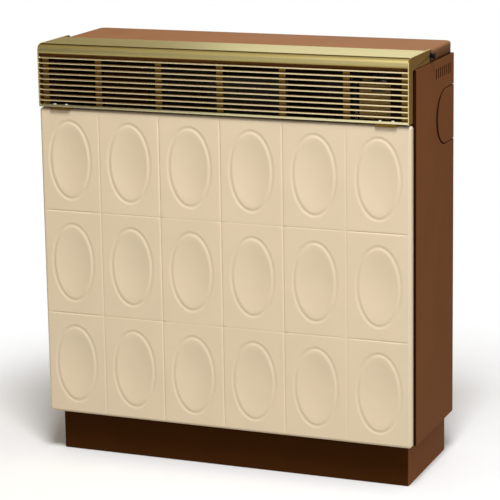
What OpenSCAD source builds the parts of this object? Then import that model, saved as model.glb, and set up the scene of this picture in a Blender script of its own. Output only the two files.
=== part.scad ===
// Gas convector heater with a tiled enamel front, a lift-up grille flap and top controls.
// Millimetres. X runs to the right, Y to the back, Z up. The origin lies on the floor under
// the middle of the heater. Inside the modules, depth is counted back from the face of the
// front panel.

/* [Casing] */
// Width over the two side panels
case_w = 638; // [600:1:760]
// Depth from the face of the front panel to the back of the side panels
case_d = 237; // [234:1:280]
// Height of a side panel
side_h = 608.5; // [604:0.5:660]
// Sheet of the side panels, the top cover and the rear panel
sheet = 1.2; // [0.8:0.1:1.5]
// Bend radius of the upright edges of the side panels
side_edge_r = 4; // [2:0.5:6]
// Radius of a side panel's four corners seen from the side
side_corner_r = 7; // [3:0.5:10]
// Width of the folds along the side panels
side_fold = 16; // [14:0.5:20]
// How far the side panels start behind the face of the front panel
side_setback = 27; // [22:0.5:34]
// How far the side panels hang below the top of the plinth
side_drop = 2.5; // [1:0.5:6]
// Height of the plinth
plinth_h = 70; // [50:1:110]
// How far the plinth stands in from the side panels
plinth_inset = 11.5; // [10.5:0.5:13]
// How far the plinth stands back from the face of the front panel
plinth_setback = 27; // [22:1:34]
// How far the plinth stops short of the back
plinth_rear_gap = 10; // [4:1:20]
// Radius of the plinth's upright edges
plinth_r = 3; // [2:0.5:6]
// Sheet of the plinth
plinth_sheet = 1.5; // [1:0.1:3]
// Width of the folds along the top and bottom of the plinth
plinth_fold = 15; // [10:1:25]
// Sheet of the base plate
base_sheet = 1.5; // [1:0.1:3]
// Sheet of the two frames
frame_sheet = 1.5; // [1:0.1:2.5]
// Width of the folds along the frames
frame_fold = 20; // [14:1:26]
// Depth at which the frames end
frame_rear = 130; // [128:1:136]
// Vent slots at the top of each side panel
vent_count = 8; // [4:1:9]
// Width of a vent slot
vent_w = 5; // [3:0.5:7]
// Height of a vent slot
vent_h = 17; // [10:1:24]
// Distance from one vent slot to the next
vent_pitch = 11; // [9:0.5:11]
// Distance of the vent slots from the top of the side panel
vent_drop = 14; // [8:1:20]

/* [Top cover] */
// Height of the cover's edge
cover_edge_h = 18.5; // [16:0.5:26]
// Dark joint between the side panels and the cover
cover_joint = 1; // [0.5:0.1:3]
// How far the cover stops short of the back
cover_setback = 2; // [2:0.5:6]
// Radius of the cover's rear corners seen from above
cover_corner_r = 12; // [6:1:20]
// Gap between the hood and the cover
cover_gap = 7; // [5:0.5:9]

/* [Front panel] */
// How far the front panel reaches past each side panel
panel_overlap = 1; // [0:0.5:3]
// Height of the front panel
panel_h = 520; // [516:1:524]
// Depth of the front panel's edge
panel_d = 12; // [11:0.5:16]
// Enamelled sheet of the front panel
panel_sheet = 1.5; // [1:0.1:2]
// Radius of the front panel's edges and corners
panel_r = 5; // [3:0.5:7]
// Height of the front panel's lower edge above the plinth
panel_rise = 2; // [1:0.5:6]
// Tiles in a row
tile_cols = 6; // [3:1:8]
// Rows of tiles
tile_rows = 3; // [2:1:4]
// Width of the pressed seams between tiles
seam_w = 2.4; // [1.5:0.1:4]
// Depth of the pressed seams and oval rings
press_depth = 1; // [0.5:0.1:1.4]
// How far each level seam stops short of the tile's corners
seam_gap = 7; // [3:0.5:12]
// How far the upright seams stop short of the panel's top and bottom
seam_end = 10; // [6:1:20]
// Width over the oval ring pressed into each tile
ring_w = 76; // [60:1:86]
// Height over the oval ring
ring_h = 136; // [110:1:150]
// Width of the ring's groove
ring_groove = 7; // [4:0.5:10]
// Depth of the hollow inside the ring
dish_depth = 3.6; // [2:0.1:5]
// Clear land between the hollow and the ring
dish_land = 1; // [0.5:0.5:6]

/* [Flap] */
// How far the hood's nose stands in front of the front panel
hood_proud = 4.5; // [3:0.5:8]
// How far the hood stands in from each side panel
hood_inset = 1; // [0.5:0.5:3]
// Depth of the hood behind the face of the front panel
hood_d = 86.5; // [82:0.5:90]
// How far the hood stands above the cover
hood_step = 2.5; // [1.8:0.1:4]
// Wall of the hood's extrusion
hood_wall = 1.6; // [1.2:0.1:2]
// Height of the hood's nose
nose_h = 16.5; // [14:0.5:20]
// Radius over the hood's nose
nose_r = 9; // [6:0.5:11]
// Depth of the lip folded back under the nose
nose_lip = 10; // [6:0.5:12]
// How far the nose lies below the hood's top, as a step along the hood
nose_drop = 1.4; // [0.6:0.1:2]
// Thickness of the two cheeks
cheek_t = 1.7; // [1.3:0.1:2.2]
// Depth of a cheek's upright leg
cheek_leg = 20; // [16:0.5:24]
// Gap between a cheek and what it passes
cheek_gap = 0.3; // [0.2:0.1:1]
// How far the arms clear the top of the side panels
arm_gap = 1; // [0.5:0.1:2]
// How far the pivot lies behind the hood's rear edge
pivot_back = 20.5; // [19.5:0.5:24]
// Grille slats
slat_count = 9; // [6:1:11]
// Thickness of a slat
slat_t = 2.6; // [1.6:0.1:3.2]
// Depth of a slat
slat_d = 9; // [7:0.5:10]
// How far the slats stand in front of the front panel
slat_proud = 3.5; // [2:0.5:4]
// Dark gap between the hood's lip and the first slat
slat_gap = 4.7; // [3:0.1:8]
// Height of the bottom bar
bar_h = 4.4; // [3:0.1:5]
// Gap between the front panel and the bottom bar
flap_gap = 2.4; // [2:0.1:4]
// Upright posts behind the slats, between the end posts
post_count = 5; // [3:1:7]
// Width of a post
post_w = 11; // [7:0.5:14]
// Thickness of a post
post_t = 2.5; // [1.5:0.1:3]
// Width of a catch tab
tab_w = 35.5; // [28:0.5:44]
// Thickness of a catch tab
tab_t = 1.2; // [0.8:0.1:1.4]
// Distance of a catch tab's middle from the outside of the side panel
tab_side = 38.5; // [33:0.5:57]
// Distance between a catch tab's two rivets
rivet_pitch = 21; // [16:1:26]
// Radius of a rivet's shank
rivet_r = 1.6; // [1.2:0.1:2]

/* [Hinge] */
// Radius of the hinge pins' shanks
pin_r = 3.45; // [2.5:0.05:4.5]
// Radius of the pins' two collars
pin_head_r = 5; // [4.8:0.1:6]
// How far the pins stand out past the cheeks
pin_out = 9; // [6:0.5:12]
// Running clearance round shafts and pins
running = 0.05; // [0.02:0.01:0.1]

/* [Controls] */
// Distance of the control plate from the outside of the side panel
ctrl_side = 27; // [21:1:29]
// Width of the control plate
ctrl_w = 64; // [60:1:70]
// Height of the control plate
ctrl_h = 54; // [50:1:58]
// Height of the control shelf over the top of the front panel
ctrl_rise = 59; // [55:1:61]
// Depth of the control plate behind the front panel's face
ctrl_d = 24; // [20:1:28]
// Sheet of the control plate
ctrl_sheet = 1.2; // [1:0.1:1.6]
// Width of the control shelf, from the right frame
shelf_w = 105.5; // [102:0.5:112]
// Depth at which the control shelf ends
shelf_rear = 92; // [88:1:94]
// Distance of the knob's axis from the outside of the side panel
knob_side = 59.5; // [57:0.5:61]
// Depth of the knob's axis
knob_d = 57; // [55:1:60]
// Radius of the knob
knob_r = 20; // [16:0.5:21]
// Height of the knob
knob_h = 15.5; // [14:0.5:18]
// How far the knob is pressed to light the pilot
knob_travel = 4; // [3:0.5:4.5]
// Radius of the valve's spindle
spindle_r = 3; // [2.5:0.1:4]
// Distance of the igniter button from the knob's axis
igniter_gap = 47.5; // [45.5:0.5:51.5]
// Radius of the igniter button
button_r = 5.5; // [4.5:0.1:6]
// Travel of the igniter button
button_travel = 6; // [4:0.5:7]

/* [Gas and flue] */
// Height of the gas connection
inlet_z = 110; // [104:1:118]
// Radius over the thread of the gas connection
inlet_r = 10.48; // [8:0.01:13]
// Length of that thread
inlet_len = 20; // [16:1:22]
// Radius of the inlet pipe
inlet_pipe_r = 6; // [5:0.5:6.5]
// Radius of the burner pipe
burner_pipe_r = 4; // [3:0.5:4.5]
// Inner radius of the flue collar
flue_r = 45; // [40:0.5:46]
// Height of the flue's axis
flue_z = 579; // [570:1:582]
// Wall of the flue collar
flue_wall = 1.2; // [1:0.1:2]
// Gap cut round the flue blank in each side panel
blank_slit = 1.8; // [1:0.1:3]
// Clearance of the flue blank round a flue pipe
blank_clear = 1; // [0.5:0.5:3]

/* [Heat exchanger] */
// Width of the heat exchanger
core_w = 390; // [370:2:400]
// Middle of the heat exchanger, from the heater's middle
core_x = -45; // [-50:1:-40]
// Height of the heat exchanger's open underside
core_z = 145; // [142:1:150]
// Height of the heat exchanger
core_h = 430; // [420:1:435]
// Depth of each half of the heat exchanger
core_half_d = 37; // [34:0.5:37]
// Depth of the joint between its halves
core_joint_d = 85; // [83:0.5:86]
// Plate of the heat exchanger
core_sheet = 2; // [1.5:0.1:3]
// Ribs on each half
rib_count = 8; // [4:1:9]
// Radius of the burner tube
burner_r = 13; // [11:0.5:14]
// Radius of the sight glass
glass_r = 22; // [18:0.5:24]

/* [Hidden] */
$fn = 64;

// Heights
base_top = plinth_h + base_sheet;
side_bottom = plinth_h - side_drop;
side_top = side_bottom + side_h;
cover_bottom = side_top + cover_joint;
cover_top = cover_bottom + cover_edge_h;
cover_under = cover_top - sheet;
hood_top = cover_top + hood_step;
arm_bottom = side_top + arm_gap;
arm_r = (hood_top - arm_bottom) / 2;
pivot_z = (hood_top + arm_bottom) / 2;
panel_bottom = plinth_h + panel_rise;
panel_top = panel_bottom + panel_h;
bar_bottom = panel_top + flap_gap;
bar_mid = bar_bottom + bar_h / 2;
lip_bottom = hood_top - nose_h;
top_slat_z = lip_bottom - slat_gap - slat_t / 2;
slat_pitch = (top_slat_z - bar_mid) / slat_count;
shelf_top = panel_top + ctrl_rise;
shelf_under = shelf_top - ctrl_sheet;
core_top = core_z + core_h;

// Widths, as distances from the middle
case_x = case_w / 2;
side_in = case_x - sheet;
frame_out = case_x - side_fold;
frame_in = frame_out - frame_sheet;
plinth_x = case_x - plinth_inset;
panel_x = case_x + panel_overlap;
cheek_out = case_x - hood_inset;
cheek_in = cheek_out - cheek_t;
cover_x = cheek_in - cheek_gap;
tab_x = case_x - tab_side;
ctrl_right = case_x - ctrl_side;
ctrl_left = ctrl_right - ctrl_w;
shelf_left = frame_in - shelf_w;
knob_x = case_x - knob_side;
igniter_x = knob_x - igniter_gap;

// Clearance of seated pieces, and how far a cutting shape runs past what it cuts
seat_gap = 0.3;
over = 1;

// Depths behind the face of the front panel
front_y = (hood_proud - case_d) / 2;
frame_front = panel_d + seat_gap;
rear_face = case_d - sheet;
rear_in = rear_face - sheet;
cover_front = hood_d + cover_gap;
cover_rear = case_d - cover_setback;
pivot_d = hood_d + pivot_back;
frame_step = cover_front + sheet + seat_gap;
web_rear = rear_in - seat_gap;
plinth_rear = case_d - plinth_rear_gap;
slat_front = -slat_proud;
slat_rear = slat_front + slat_d;
core_front = core_joint_d - core_half_d;
core_rear = core_joint_d + core_half_d;

// Casing details
frame_foot = 2;
rear_fold = 20;
rail_w = 18;
front_rail_h = 12.8;
front_rail_gap = 3.5;
cover_lip = 9;
screw_x = 200;
screw_r = 4.5;
screw_h = 1.7;
screw_slot_w = 1;
screw_slot_d = 0.7;

// Front panel ornament and fixings
tile_w = 2 * panel_x / tile_cols;
tile_h = panel_h / tile_rows;
dish_w = ring_w - 2 * (ring_groove + dish_land);
dish_h = ring_h - 2 * (ring_groove + dish_land);
dish_reach = 5.4;
hook_w = 16;
hook_h = 28;
hook_tip = 5;
hook_d = 4;
clip_w = 14;
clip_h = 26;
clip_t = 1;
clip_r = 2;
clip_d = 6;

// Flap details
spacer_wall = 2.5;
lip_r = 4.5;
nose_crown = nose_r - hood_proud;
nose_centre = hood_top - nose_drop - nose_r;
lip_rear = nose_lip - hood_proud;
lip_fold_bottom = lip_bottom - slat_gap + seat_gap;
cheek_fillet = 4;
bar_r = 1;
bar_proud = 0.5;
post_gap = 2;
tab_drop = 3.9;
rivet_head_h = 1.4;
bar_front = slat_front - bar_proud;
rivet_d = (slat_front + slat_rear) / 2 - bar_proud;

// Flue blank and diverter
blank_r = flue_r + blank_clear;
blank_land = 5;
blank_d = case_d - blank_r - blank_land;
blank_front = blank_d - blank_r;
bridge_w = 3;
vent_first = blank_front - 3;
diverter_side = 27;
diverter_x = flue_r + diverter_side;
diverter_gap = 31;
diverter_rear = case_d - diverter_gap;
diverter_low = 109;
diverter_high = 61;
diverter_bottom = flue_z - diverter_low;
diverter_top = flue_z + diverter_high;
collar_flange = 12;
collar_flange_t = 1.5;
outlet_r = 40;
outlet_drop = 42;
outlet_z = core_top - outlet_drop;
flue_gap = 2;
shield_gap = 15;
shield_d = case_d - shield_gap;
shield_t = 1;
shield_x = 225;
shield_low = 18.5;
shield_high = 20;
spacer_r = 5;
spacer_inset = 15;
deflector_gap = 5;
deflector_drop = 4.5;
deflector_rise = 14.5;
deflector_edge = 3.5;

// Base plate slots and wall fixing holes
slot_pairs = 6;
slot_w = 8;
slot_len = 50;
slot_pitch = 24;
slot_row = 8;
slot_end = 0.5;
wall_hole_r = 3.5;
wall_hole_x = 240;
wall_hole_low = base_top + 78.5;
wall_hole_high = side_top - 46;

// Controls and valve, from the knob's axis
neck_r = 10;
neck_h = 5;
neck_gap = 0.3;
knob_gap = neck_h + 0.5;
knob_bottom = shelf_top + knob_gap;
knob_recess = knob_travel + 0.2;
knob_skirt_h = 5;
knob_cap_r = knob_r - 3;
knob_bevel = 1.5;
pointer_w = 4;
flute_count = 24;
flute_r = 0.9;
flute_in = 0.4;
spindle_deep = 12;
spindle_low = shelf_under - spindle_deep;
spindle_top = knob_bottom + 8.5;
flat_low = knob_bottom + knob_recess - knob_travel - 1;
flat_x = 0.6 * spindle_r;
dial_r = 27;
dial_t = 0.8;
shelf_front = knob_d - 17;
ear_h = 22;
ctrl_slot_w = 23;
ctrl_slot_h = 3;
ctrl_slot_drop = 8;
valve_w = 51;
valve_left = knob_x - 25.5;
valve_front = knob_d - 21;
valve_d = 44;
valve_h = 45.8;
valve_bottom = shelf_under - valve_h;
magnet_r = 11;
magnet_len = 16;
magnet_x = valve_left + 14;
magnet_z = valve_bottom + 20;
cap_r = 8;
cap_len = 5;
cap_x = valve_left + 38;
cap_z = valve_bottom + 24;
inlet_x = knob_x + 2.5;
inlet_port_d = knob_d + 11;
burner_port_x = knob_x - 14.5;
burner_port_d = knob_d - 9;
pilot_port_x = knob_x + 8;
pilot_port_d = knob_d - 13;
thermo_port_x = knob_x + 20;
thermo_port_d = pilot_port_d;
sensor_port_x = knob_x - 21.5;
sensor_port_d = knob_d + 15;
pilot_pipe_r = 2;
thermo_lead_r = 1.5;
spark_lead_r = 2;
sensor_lead_r = 1.25;
pipe_wall = 1;
inlet_bend = 22;
burner_bend = 14;
sensor_bend = 8;
lead_bend = 5;
spark_bend = 9;
nut_h = 12;
inlet_nut = 22;
burner_nut = 14;
pilot_nut = 9;
thermo_nut = 8;
hex_d = case_d - inlet_len - nut_h;
inlet_wall = 3;
inlet_hole_gap = 3;
bracket_t = 3;
bracket_side = 6;
bracket_foot = 25;

// Igniter
igniter_r = 9;
igniter_h = 45;
igniter_bore = 20;
collar_h = 4;
collar_wall = 1.6;
collar_gap = 0.2;
collar_nut = 4;
collar_nut_h = 2.5;
button_dome = 1.5;

// Heat exchanger
flange_w = 8;
rib_w = 20;
rib_out = 8;
rib_low = 95;
rib_high = 105;
bolt_r = 3.4;
bolt_h = 3;
bolt_pitch = 90;
bolt_first = 30;
foot_t = 2;
foot_w = 20;
foot_tab = 20;
foot_strip = 12;
foot_gap = 0.6;
sight_z = core_z + 48;
glass_t = 3;
sight_rim = 8;
sight_t = 5;
sight_lip = 4;
sight_hole_r = 1.6;

// Burner, pilot and sensor
burner_drop = 17;
burner_z = core_z - burner_drop;
burner_wall = 2;
burner_left = core_x - core_w / 2 + 15;
burner_right = core_x + core_w / 2 + 22;
mouth_len = 12;
mouth_flare = 4;
port_bar_w = 4;
port_left = burner_left + 10;
port_right = burner_right - 40;
port_pitch = 12;
port_len = 6;
port_w = 3;
injector_tip = burner_right + 4;
injector_len = 14;
injector_cone = 5;
injector_nose = 3;
injector_hex = 12;
injector_bore = 1;
strap_t = 2;
strap_foot = 16;
strap_side = 4;
strap_places = [burner_left + 20, burner_right - 30];
pilot_x = core_x + core_w / 2 - 42;
pilot_d = core_joint_d - 20;
pilot_r = 4;
pilot_h = 16;
pilot_cap = 3;
pilot_shelf_z = burner_z - 2;
pilot_sheet = 1.5;
pilot_side = 20;
thermo_x = pilot_x - 12;
thermo_d = core_joint_d - 22;
thermo_r = 2.2;
thermo_h = 28;
spark_x = pilot_x + 12;
spark_d = knob_d;
spark_r = 3;
spark_h = 30;
spark_tip_r = 1;
spark_tip_h = 8;
spark_z = base_top + 26.5;
thermo_z = base_top + 14.5;
pilot_z = base_top + 20.5;
pilot_floor = burner_z - 12;
sensor_r = 4.5;
sensor_len = 70;
sensor_d = plinth_setback + 8;
sensor_floor = base_top + 4.5;
sensor_loop = 24;
clip_wall = 3;
clip_back = 5;
clip_grip = 10;

// Puts children behind the face of the front panel
module behind_face() {
    translate([0, front_y, 0]) children();
}

// A box given by its two corners
module block(low, high) {
    translate(low) cube([high[0] - low[0], high[1] - low[1], high[2] - low[2]]);
}

// The same on the right and mirrored on the left
module both_sides() {
    children();
    mirror([1, 0, 0]) children();
}

// A round bar along X, Y or Z
module bar_x(x0, x1, r) {
    translate([x0, 0, 0]) rotate([0, 90, 0]) cylinder(r = r, h = x1 - x0);
}
module bar_y(y0, y1, r) {
    translate([0, y0, 0]) rotate([-90, 0, 0]) cylinder(r = r, h = y1 - y0);
}

// A flat outline of Y and Z values, drawn out along X
module across(x0, x1) {
    translate([x0, 0, 0]) rotate([90, 0, 90]) linear_extrude(x1 - x0) children();
}
// A flat outline of X and Z values, drawn out along Y
module backwards(y0, y1) {
    translate([0, y1, 0]) rotate([90, 0, 0]) linear_extrude(y1 - y0) children();
}

// Rectangle with true round corners
module round_rect(low, high, r) {
    translate([low[0] + r, low[1]]) square([high[0] - low[0] - 2 * r, high[1] - low[1]]);
    translate([low[0], low[1] + r]) square([high[0] - low[0], high[1] - low[1] - 2 * r]);
    for (x = [low[0] + r, high[0] - r], y = [low[1] + r, high[1] - r])
        translate([x, y]) circle(r);
}

// Rectangle whose two upper corners are round
module round_top(low, high, r) {
    round_rect(low, high, r);
    translate(low) square([high[0] - low[0], (high[1] - low[1]) / 2]);
}

// Ellipse of a given width and height
module oval(w, h) {
    scale([w / 2, h / 2]) circle(1);
}

// A pipe from point to point with square turns, all of one bend radius
function along(a, b) = (b - a) / norm(b - a);
module straight(a, b, r) {
    d = along(a, b);
    translate(a) rotate([0, acos(d[2]), atan2(d[1], d[0])]) cylinder(r = r, h = norm(b - a));
}
module elbow(a, corner, b, r, bend) {
    into = along(a, corner);
    out = along(corner, b);
    up = cross(-out, into);
    middle = corner - into * bend + out * bend;
    multmatrix([[-out[0], into[0], up[0], middle[0]], [-out[1], into[1], up[1], middle[1]],
        [-out[2], into[2], up[2], middle[2]], [0, 0, 0, 1]])
        rotate_extrude(angle = 90) translate([bend, 0]) circle(r);
}
module pipe(route, r, bend) {
    last = len(route) - 1;
    for (i = [0 : last - 1]) {
        step = along(route[i], route[i + 1]);
        from = i == 0 ? route[i] : route[i] + step * bend;
        to = i == last - 1 ? route[i + 1] : route[i + 1] - step * bend;
        straight(from, to, r);
    }
    for (i = [1 : last - 1]) elbow(route[i - 1], route[i], route[i + 1], r, bend);
}

// Hexagon nut by its size across the flats, standing on Z
module hex(flats, h) {
    cylinder(r = flats / sqrt(3), h = h, $fn = 6);
}

// Plinth: a folded ring with a foot fold all round
module plinth() {
    wall = plinth_sheet;
    color("#33200f") behind_face() difference() {
        linear_extrude(plinth_h)
            round_rect([-plinth_x, plinth_setback], [plinth_x, plinth_rear], plinth_r);
        translate([0, 0, wall]) linear_extrude(plinth_h - 2 * wall)
            round_rect([wall - plinth_x, plinth_setback + wall],
                [plinth_x - wall, plinth_rear - wall], plinth_r - wall);
        translate([0, 0, -over]) linear_extrude(plinth_h + 2 * over)
            round_rect([plinth_fold - plinth_x, plinth_setback + plinth_fold],
                [plinth_x - plinth_fold, plinth_rear - plinth_fold], plinth_r);
    }
}

// Space that the round corners of the side panels take
module corner_reliefs() {
    r = side_corner_r;
    for (side = [0, 1], d = [side_setback, case_d - r], z = [side_bottom, side_top - r])
        mirror([side, 0, 0]) block([frame_out, d - over, z - over], [case_x, d + r + over, z + r]);
}

// Base plate with two rows of air slots under the burner
module base_plate() {
    x = side_in - seat_gap / 2;
    color("#2c241d") behind_face() difference() {
        translate([0, 0, plinth_h]) linear_extrude(base_sheet)
            round_rect([-x, plinth_setback + frame_foot], [x, rear_in], side_edge_r);
        corner_reliefs();
        for (i = [-slot_pairs : slot_pairs], d = [core_front - slot_row, core_rear + slot_row])
            translate([core_x + i * slot_pitch, d, plinth_h - over])
                linear_extrude(base_sheet + 2 * over)
                round_rect([-slot_w, -slot_len] / 2, [slot_w, slot_len] / 2, slot_w / 2 - slot_end);
    }
}

// Right frame: a folded upright sheet that carries the hinge and the front panel and reaches back
// to the rear panel, with a notch behind the flue blank
module frame() {
    fold_in = frame_out - frame_fold;
    difference() {
        union() {
            block([frame_in, frame_front, base_top], [frame_out, web_rear, side_top - sheet]);
            block([frame_in, frame_step, side_top - 2 * sheet], [frame_out, frame_rear, cover_under]);
            block([fold_in, frame_front, base_top],
                [frame_out, frame_front + frame_sheet, side_top - sheet]);
            block([fold_in, plinth_setback + frame_foot, base_top],
                [frame_out, frame_rear, base_top + frame_sheet]);
            block([fold_in, frame_step, cover_under - frame_sheet],
                [frame_out, frame_rear, cover_under]);
        }
        translate([0, pivot_d, pivot_z]) bar_x(frame_in - over, frame_out + over, pin_r + running);
        translate([0, blank_d, flue_z]) {
            bar_x(frame_in - over, frame_out + over, blank_r);
            block([frame_in - over, 0, -blank_r], [frame_out + over, web_rear - blank_d + over, blank_r]);
        }
    }
}
module left_frame() {
    color("#3a2c20") behind_face() mirror([1, 0, 0]) frame();
}
module right_frame() {
    color("#3a2c20") behind_face() frame();
}

// Rear panel with the flue hole, the gas hole and four wall fixing holes
module rear_panel() {
    x = side_in - side_edge_r;
    color("#6b442b") behind_face() difference() {
        union() {
            block([-x, rear_in, plinth_h], [x, rear_face, side_top - sheet]);
            block([-frame_in, rear_in - rear_fold, side_top - 2 * sheet],
                [frame_in, rear_face, side_top - sheet]);
        }
        corner_reliefs();
        translate([0, 0, flue_z]) bar_y(rear_in - over, rear_face + over, flue_r + flue_wall + flue_gap);
        translate([inlet_x, 0, inlet_z])
            bar_y(rear_in - over, rear_face + over, inlet_r + inlet_hole_gap);
        for (x = [-wall_hole_x, wall_hole_x], z = [wall_hole_low, wall_hole_high])
            translate([x, 0, z]) bar_y(rear_in - over, rear_face + over, wall_hole_r);
    }
}

// Rear rail: a channel on the rear panel's fold that carries the cover
module rear_rail() {
    low = side_top - sheet;
    back = cover_rear - sheet;
    color("#3a2c20") behind_face() across(-frame_in, frame_in) difference() {
        translate([back - rail_w, low]) square([rail_w, cover_under - low]);
        translate([back - rail_w - over, low + sheet])
            square([rail_w + over - sheet, cover_under - low - 2 * sheet]);
    }
}

// Front rail: a channel between the frames, under the cover's front edge
module front_rail() {
    top = cover_under - frame_sheet;
    low = top - front_rail_h;
    front = pivot_d + pin_r + front_rail_gap;
    color("#3a2c20") behind_face() across(-frame_in, frame_in) difference() {
        translate([front, low]) square([frame_rear - front, front_rail_h]);
        translate([front + sheet, low - over])
            square([frame_rear - front - 2 * sheet, front_rail_h + over - sheet]);
    }
}

// Outer block of a side panel's tray, and with an inset its hollow
module side_tray(inset) {
    inner = frame_out - 2 * side_edge_r;
    intersection() {
        linear_extrude(side_top) round_rect([inner, side_setback + inset],
            [case_x - inset, case_d - inset], side_edge_r - inset);
        across(inner - over, case_x + over)
            round_rect([side_setback, side_bottom] + [inset, inset],
                [case_d, side_top] - [inset, inset], side_corner_r - inset);
    }
}

// Side panel: a shallow pressed tray with vent slots; the slit round the flue blank runs out
// through the rear bend, and the rear fold and a bridge at the front hold the blank
module side_panel() {
    difference() {
        side_tray(0);
        side_tray(sheet);
        block([frame_out - 3 * side_edge_r, side_setback - over, side_bottom - over],
            [frame_out, case_d + over, side_top + over]);
        block([frame_out - over, side_setback - over, side_bottom - over],
            [plinth_x + seat_gap, case_d + over, plinth_h]);
        for (i = [0 : vent_count - 1])
            translate([0, vent_first + i * vent_pitch, side_top - vent_drop])
                block([side_in - over, -vent_w / 2, -vent_h], [case_x + over, vent_w / 2, 0]);
        translate([0, blank_d, flue_z]) difference() {
            bar_x(side_in - over, case_x + over, blank_r);
            bar_x(side_in - 2 * over, case_x + 2 * over, blank_r - blank_slit);
            block([side_in - 2 * over, 0, -blank_r - over],
                [case_x + 2 * over, blank_r + over, blank_r + over]);
            block([side_in - 2 * over, -blank_r - over, -bridge_w / 2],
                [case_x + 2 * over, 0, bridge_w / 2]);
        }
        for (z = [flue_z - blank_r, flue_z + blank_r - blank_slit])
            block([case_x - side_edge_r - over, blank_d, z],
                [case_x + over, case_d + over, z + blank_slit]);
    }
}
module left_side_panel() {
    color("#70492e") behind_face() mirror([1, 0, 0]) side_panel();
}
module right_side_panel() {
    color("#70492e") behind_face() side_panel();
}

// Cover outline seen from above, with round rear corners
module cover_outline(inset) {
    r = cover_corner_r - inset;
    round_rect([inset - cover_x, cover_front + inset], [cover_x - inset, cover_rear - inset], r);
    translate([inset - cover_x, cover_front + inset])
        square([2 * (cover_x - inset), (cover_rear - cover_front) / 2]);
}

// Top cover: a folded tray whose front fold is shallow and hides under the hood
module top_cover() {
    color("#a17451") behind_face() difference() {
        translate([0, 0, cover_bottom]) linear_extrude(cover_edge_h) cover_outline(0);
        translate([0, 0, cover_bottom - over]) linear_extrude(cover_edge_h + over - sheet)
            cover_outline(sheet);
        block([sheet - cover_x, cover_front - over, cover_bottom - over],
            [cover_x - sheet, cover_front + sheet + over, cover_top - cover_lip]);
        translate([0, pivot_d, pivot_z]) both_sides()
            bar_x(cover_x - sheet - over, cover_x + over, pin_r + running);
    }
}

// Two raised screws through the cover's rear fold
module cover_screws() {
    for (x = [-screw_x, screw_x]) color("#3a2c20") behind_face()
        translate([x, cover_rear, (cover_bottom + cover_top) / 2]) difference() {
            bar_y(0, screw_h, screw_r);
            block([-screw_r - over, screw_h - screw_slot_d, -screw_slot_w / 2],
                [screw_r + over, screw_h + over, screw_slot_w / 2]);
        }
}

// One oval ring of the ornament, as a flat outline
module ring(grow) {
    difference() {
        oval(ring_w + 2 * grow, ring_h + 2 * grow);
        oval(ring_w - 2 * (ring_groove + grow), ring_h - 2 * (ring_groove + grow));
    }
}

// Everything pressed into the panel: grown a little at the back, where the sheet follows
module tile_centres() {
    for (col = [0 : tile_cols - 1], row = [0 : tile_rows - 1])
        translate([(col + 0.5) * tile_w - panel_x, 0, panel_bottom + (row + 0.5) * tile_h])
            children();
}
module seams(grow) {
    for (col = [1 : tile_cols - 1])
        translate([col * tile_w - panel_x - seam_w / 2 - grow, panel_bottom + seam_end - grow])
            square([seam_w + 2 * grow, panel_h - 2 * (seam_end - grow)]);
    for (col = [0 : tile_cols - 1], row = [1 : tile_rows - 1])
        translate([col * tile_w - panel_x + seam_gap - grow,
            panel_bottom + row * tile_h - seam_w / 2 - grow])
            square([tile_w - 2 * (seam_gap - grow), seam_w + 2 * grow]);
}
module dish(grow) {
    // A shallow cap of an ellipsoid whose middle lies in front of the panel
    deep = dish_reach + dish_depth;
    spread = 1 / sqrt(1 - pow(dish_reach / deep, 2));
    translate([0, -dish_reach, 0])
        scale([spread * dish_w / 2 + grow, deep + grow, spread * dish_h / 2 + grow]) sphere(1);
}

// The solid that a sheet of given inset would fill, with every front edge rounded
module panel_form(inset) {
    r = panel_r - inset;
    low = panel_bottom + inset;
    high = panel_top - inset;
    x = panel_x - inset;
    intersection() {
        backwards(inset, panel_d) round_rect([-x, low], [x, high], r);
        translate([0, 0, low]) linear_extrude(high - low) rotate(180)
            round_top([-x, -panel_d], [x, -inset], r);
        across(-x, x) rotate(90) round_top([low, -panel_d], [high, -inset], r);
    }
}

// Front panel: one enamelled pressing with rounded edges and oval tiles
module front_panel() {
    color("#ddc9a9") behind_face() difference() {
        union() {
            difference() {
                panel_form(0);
                panel_form(panel_sheet);
                block([panel_sheet - panel_x, panel_d - over, panel_bottom + panel_sheet],
                    [panel_x - panel_sheet, panel_d + over, panel_top - panel_sheet]);
            }
            backwards(panel_sheet, panel_sheet + press_depth) seams(panel_sheet);
            tile_centres() {
                backwards(panel_sheet, panel_sheet + press_depth) ring(panel_sheet / 2);
                intersection() {
                    dish(panel_sheet);
                    block([-ring_w, panel_sheet / 2, -ring_h], [ring_w, panel_d, ring_h]);
                }
            }
        }
        backwards(-over, press_depth) seams(0);
        tile_centres() {
            backwards(-over, press_depth) ring(0);
            dish(0);
        }
    }
}

// Hooks on the frames that the front panel's upper fold hangs on
module panel_hooks() {
    top = panel_top - panel_sheet - seat_gap;
    for (side = [0, 1]) color("#8d8a84") behind_face() mirror([side, 0, 0])
        translate([frame_out - frame_fold, 0, 0]) {
            block([0, frame_front - frame_sheet, top - hook_h], [hook_w, frame_front, top]);
            block([0, hook_d, top - frame_sheet], [hook_w, frame_front, top]);
            block([0, hook_d, top - hook_tip], [hook_w, hook_d + frame_sheet, top]);
        }
}

// Spring clips that hold the front panel's lower fold
module panel_clips() {
    low = panel_bottom + panel_sheet + seat_gap;
    for (side = [0, 1]) color("#a5a29b") behind_face() mirror([side, 0, 0])
        translate([frame_out - frame_fold, 0, 0]) {
            block([0, frame_front - clip_t, low], [clip_w, frame_front, low + clip_h]);
            block([0, clip_d, low], [clip_w, frame_front, low + clip_t]);
            translate([0, clip_d, low + clip_r]) bar_x(0, clip_w, clip_r);
        }
}

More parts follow.
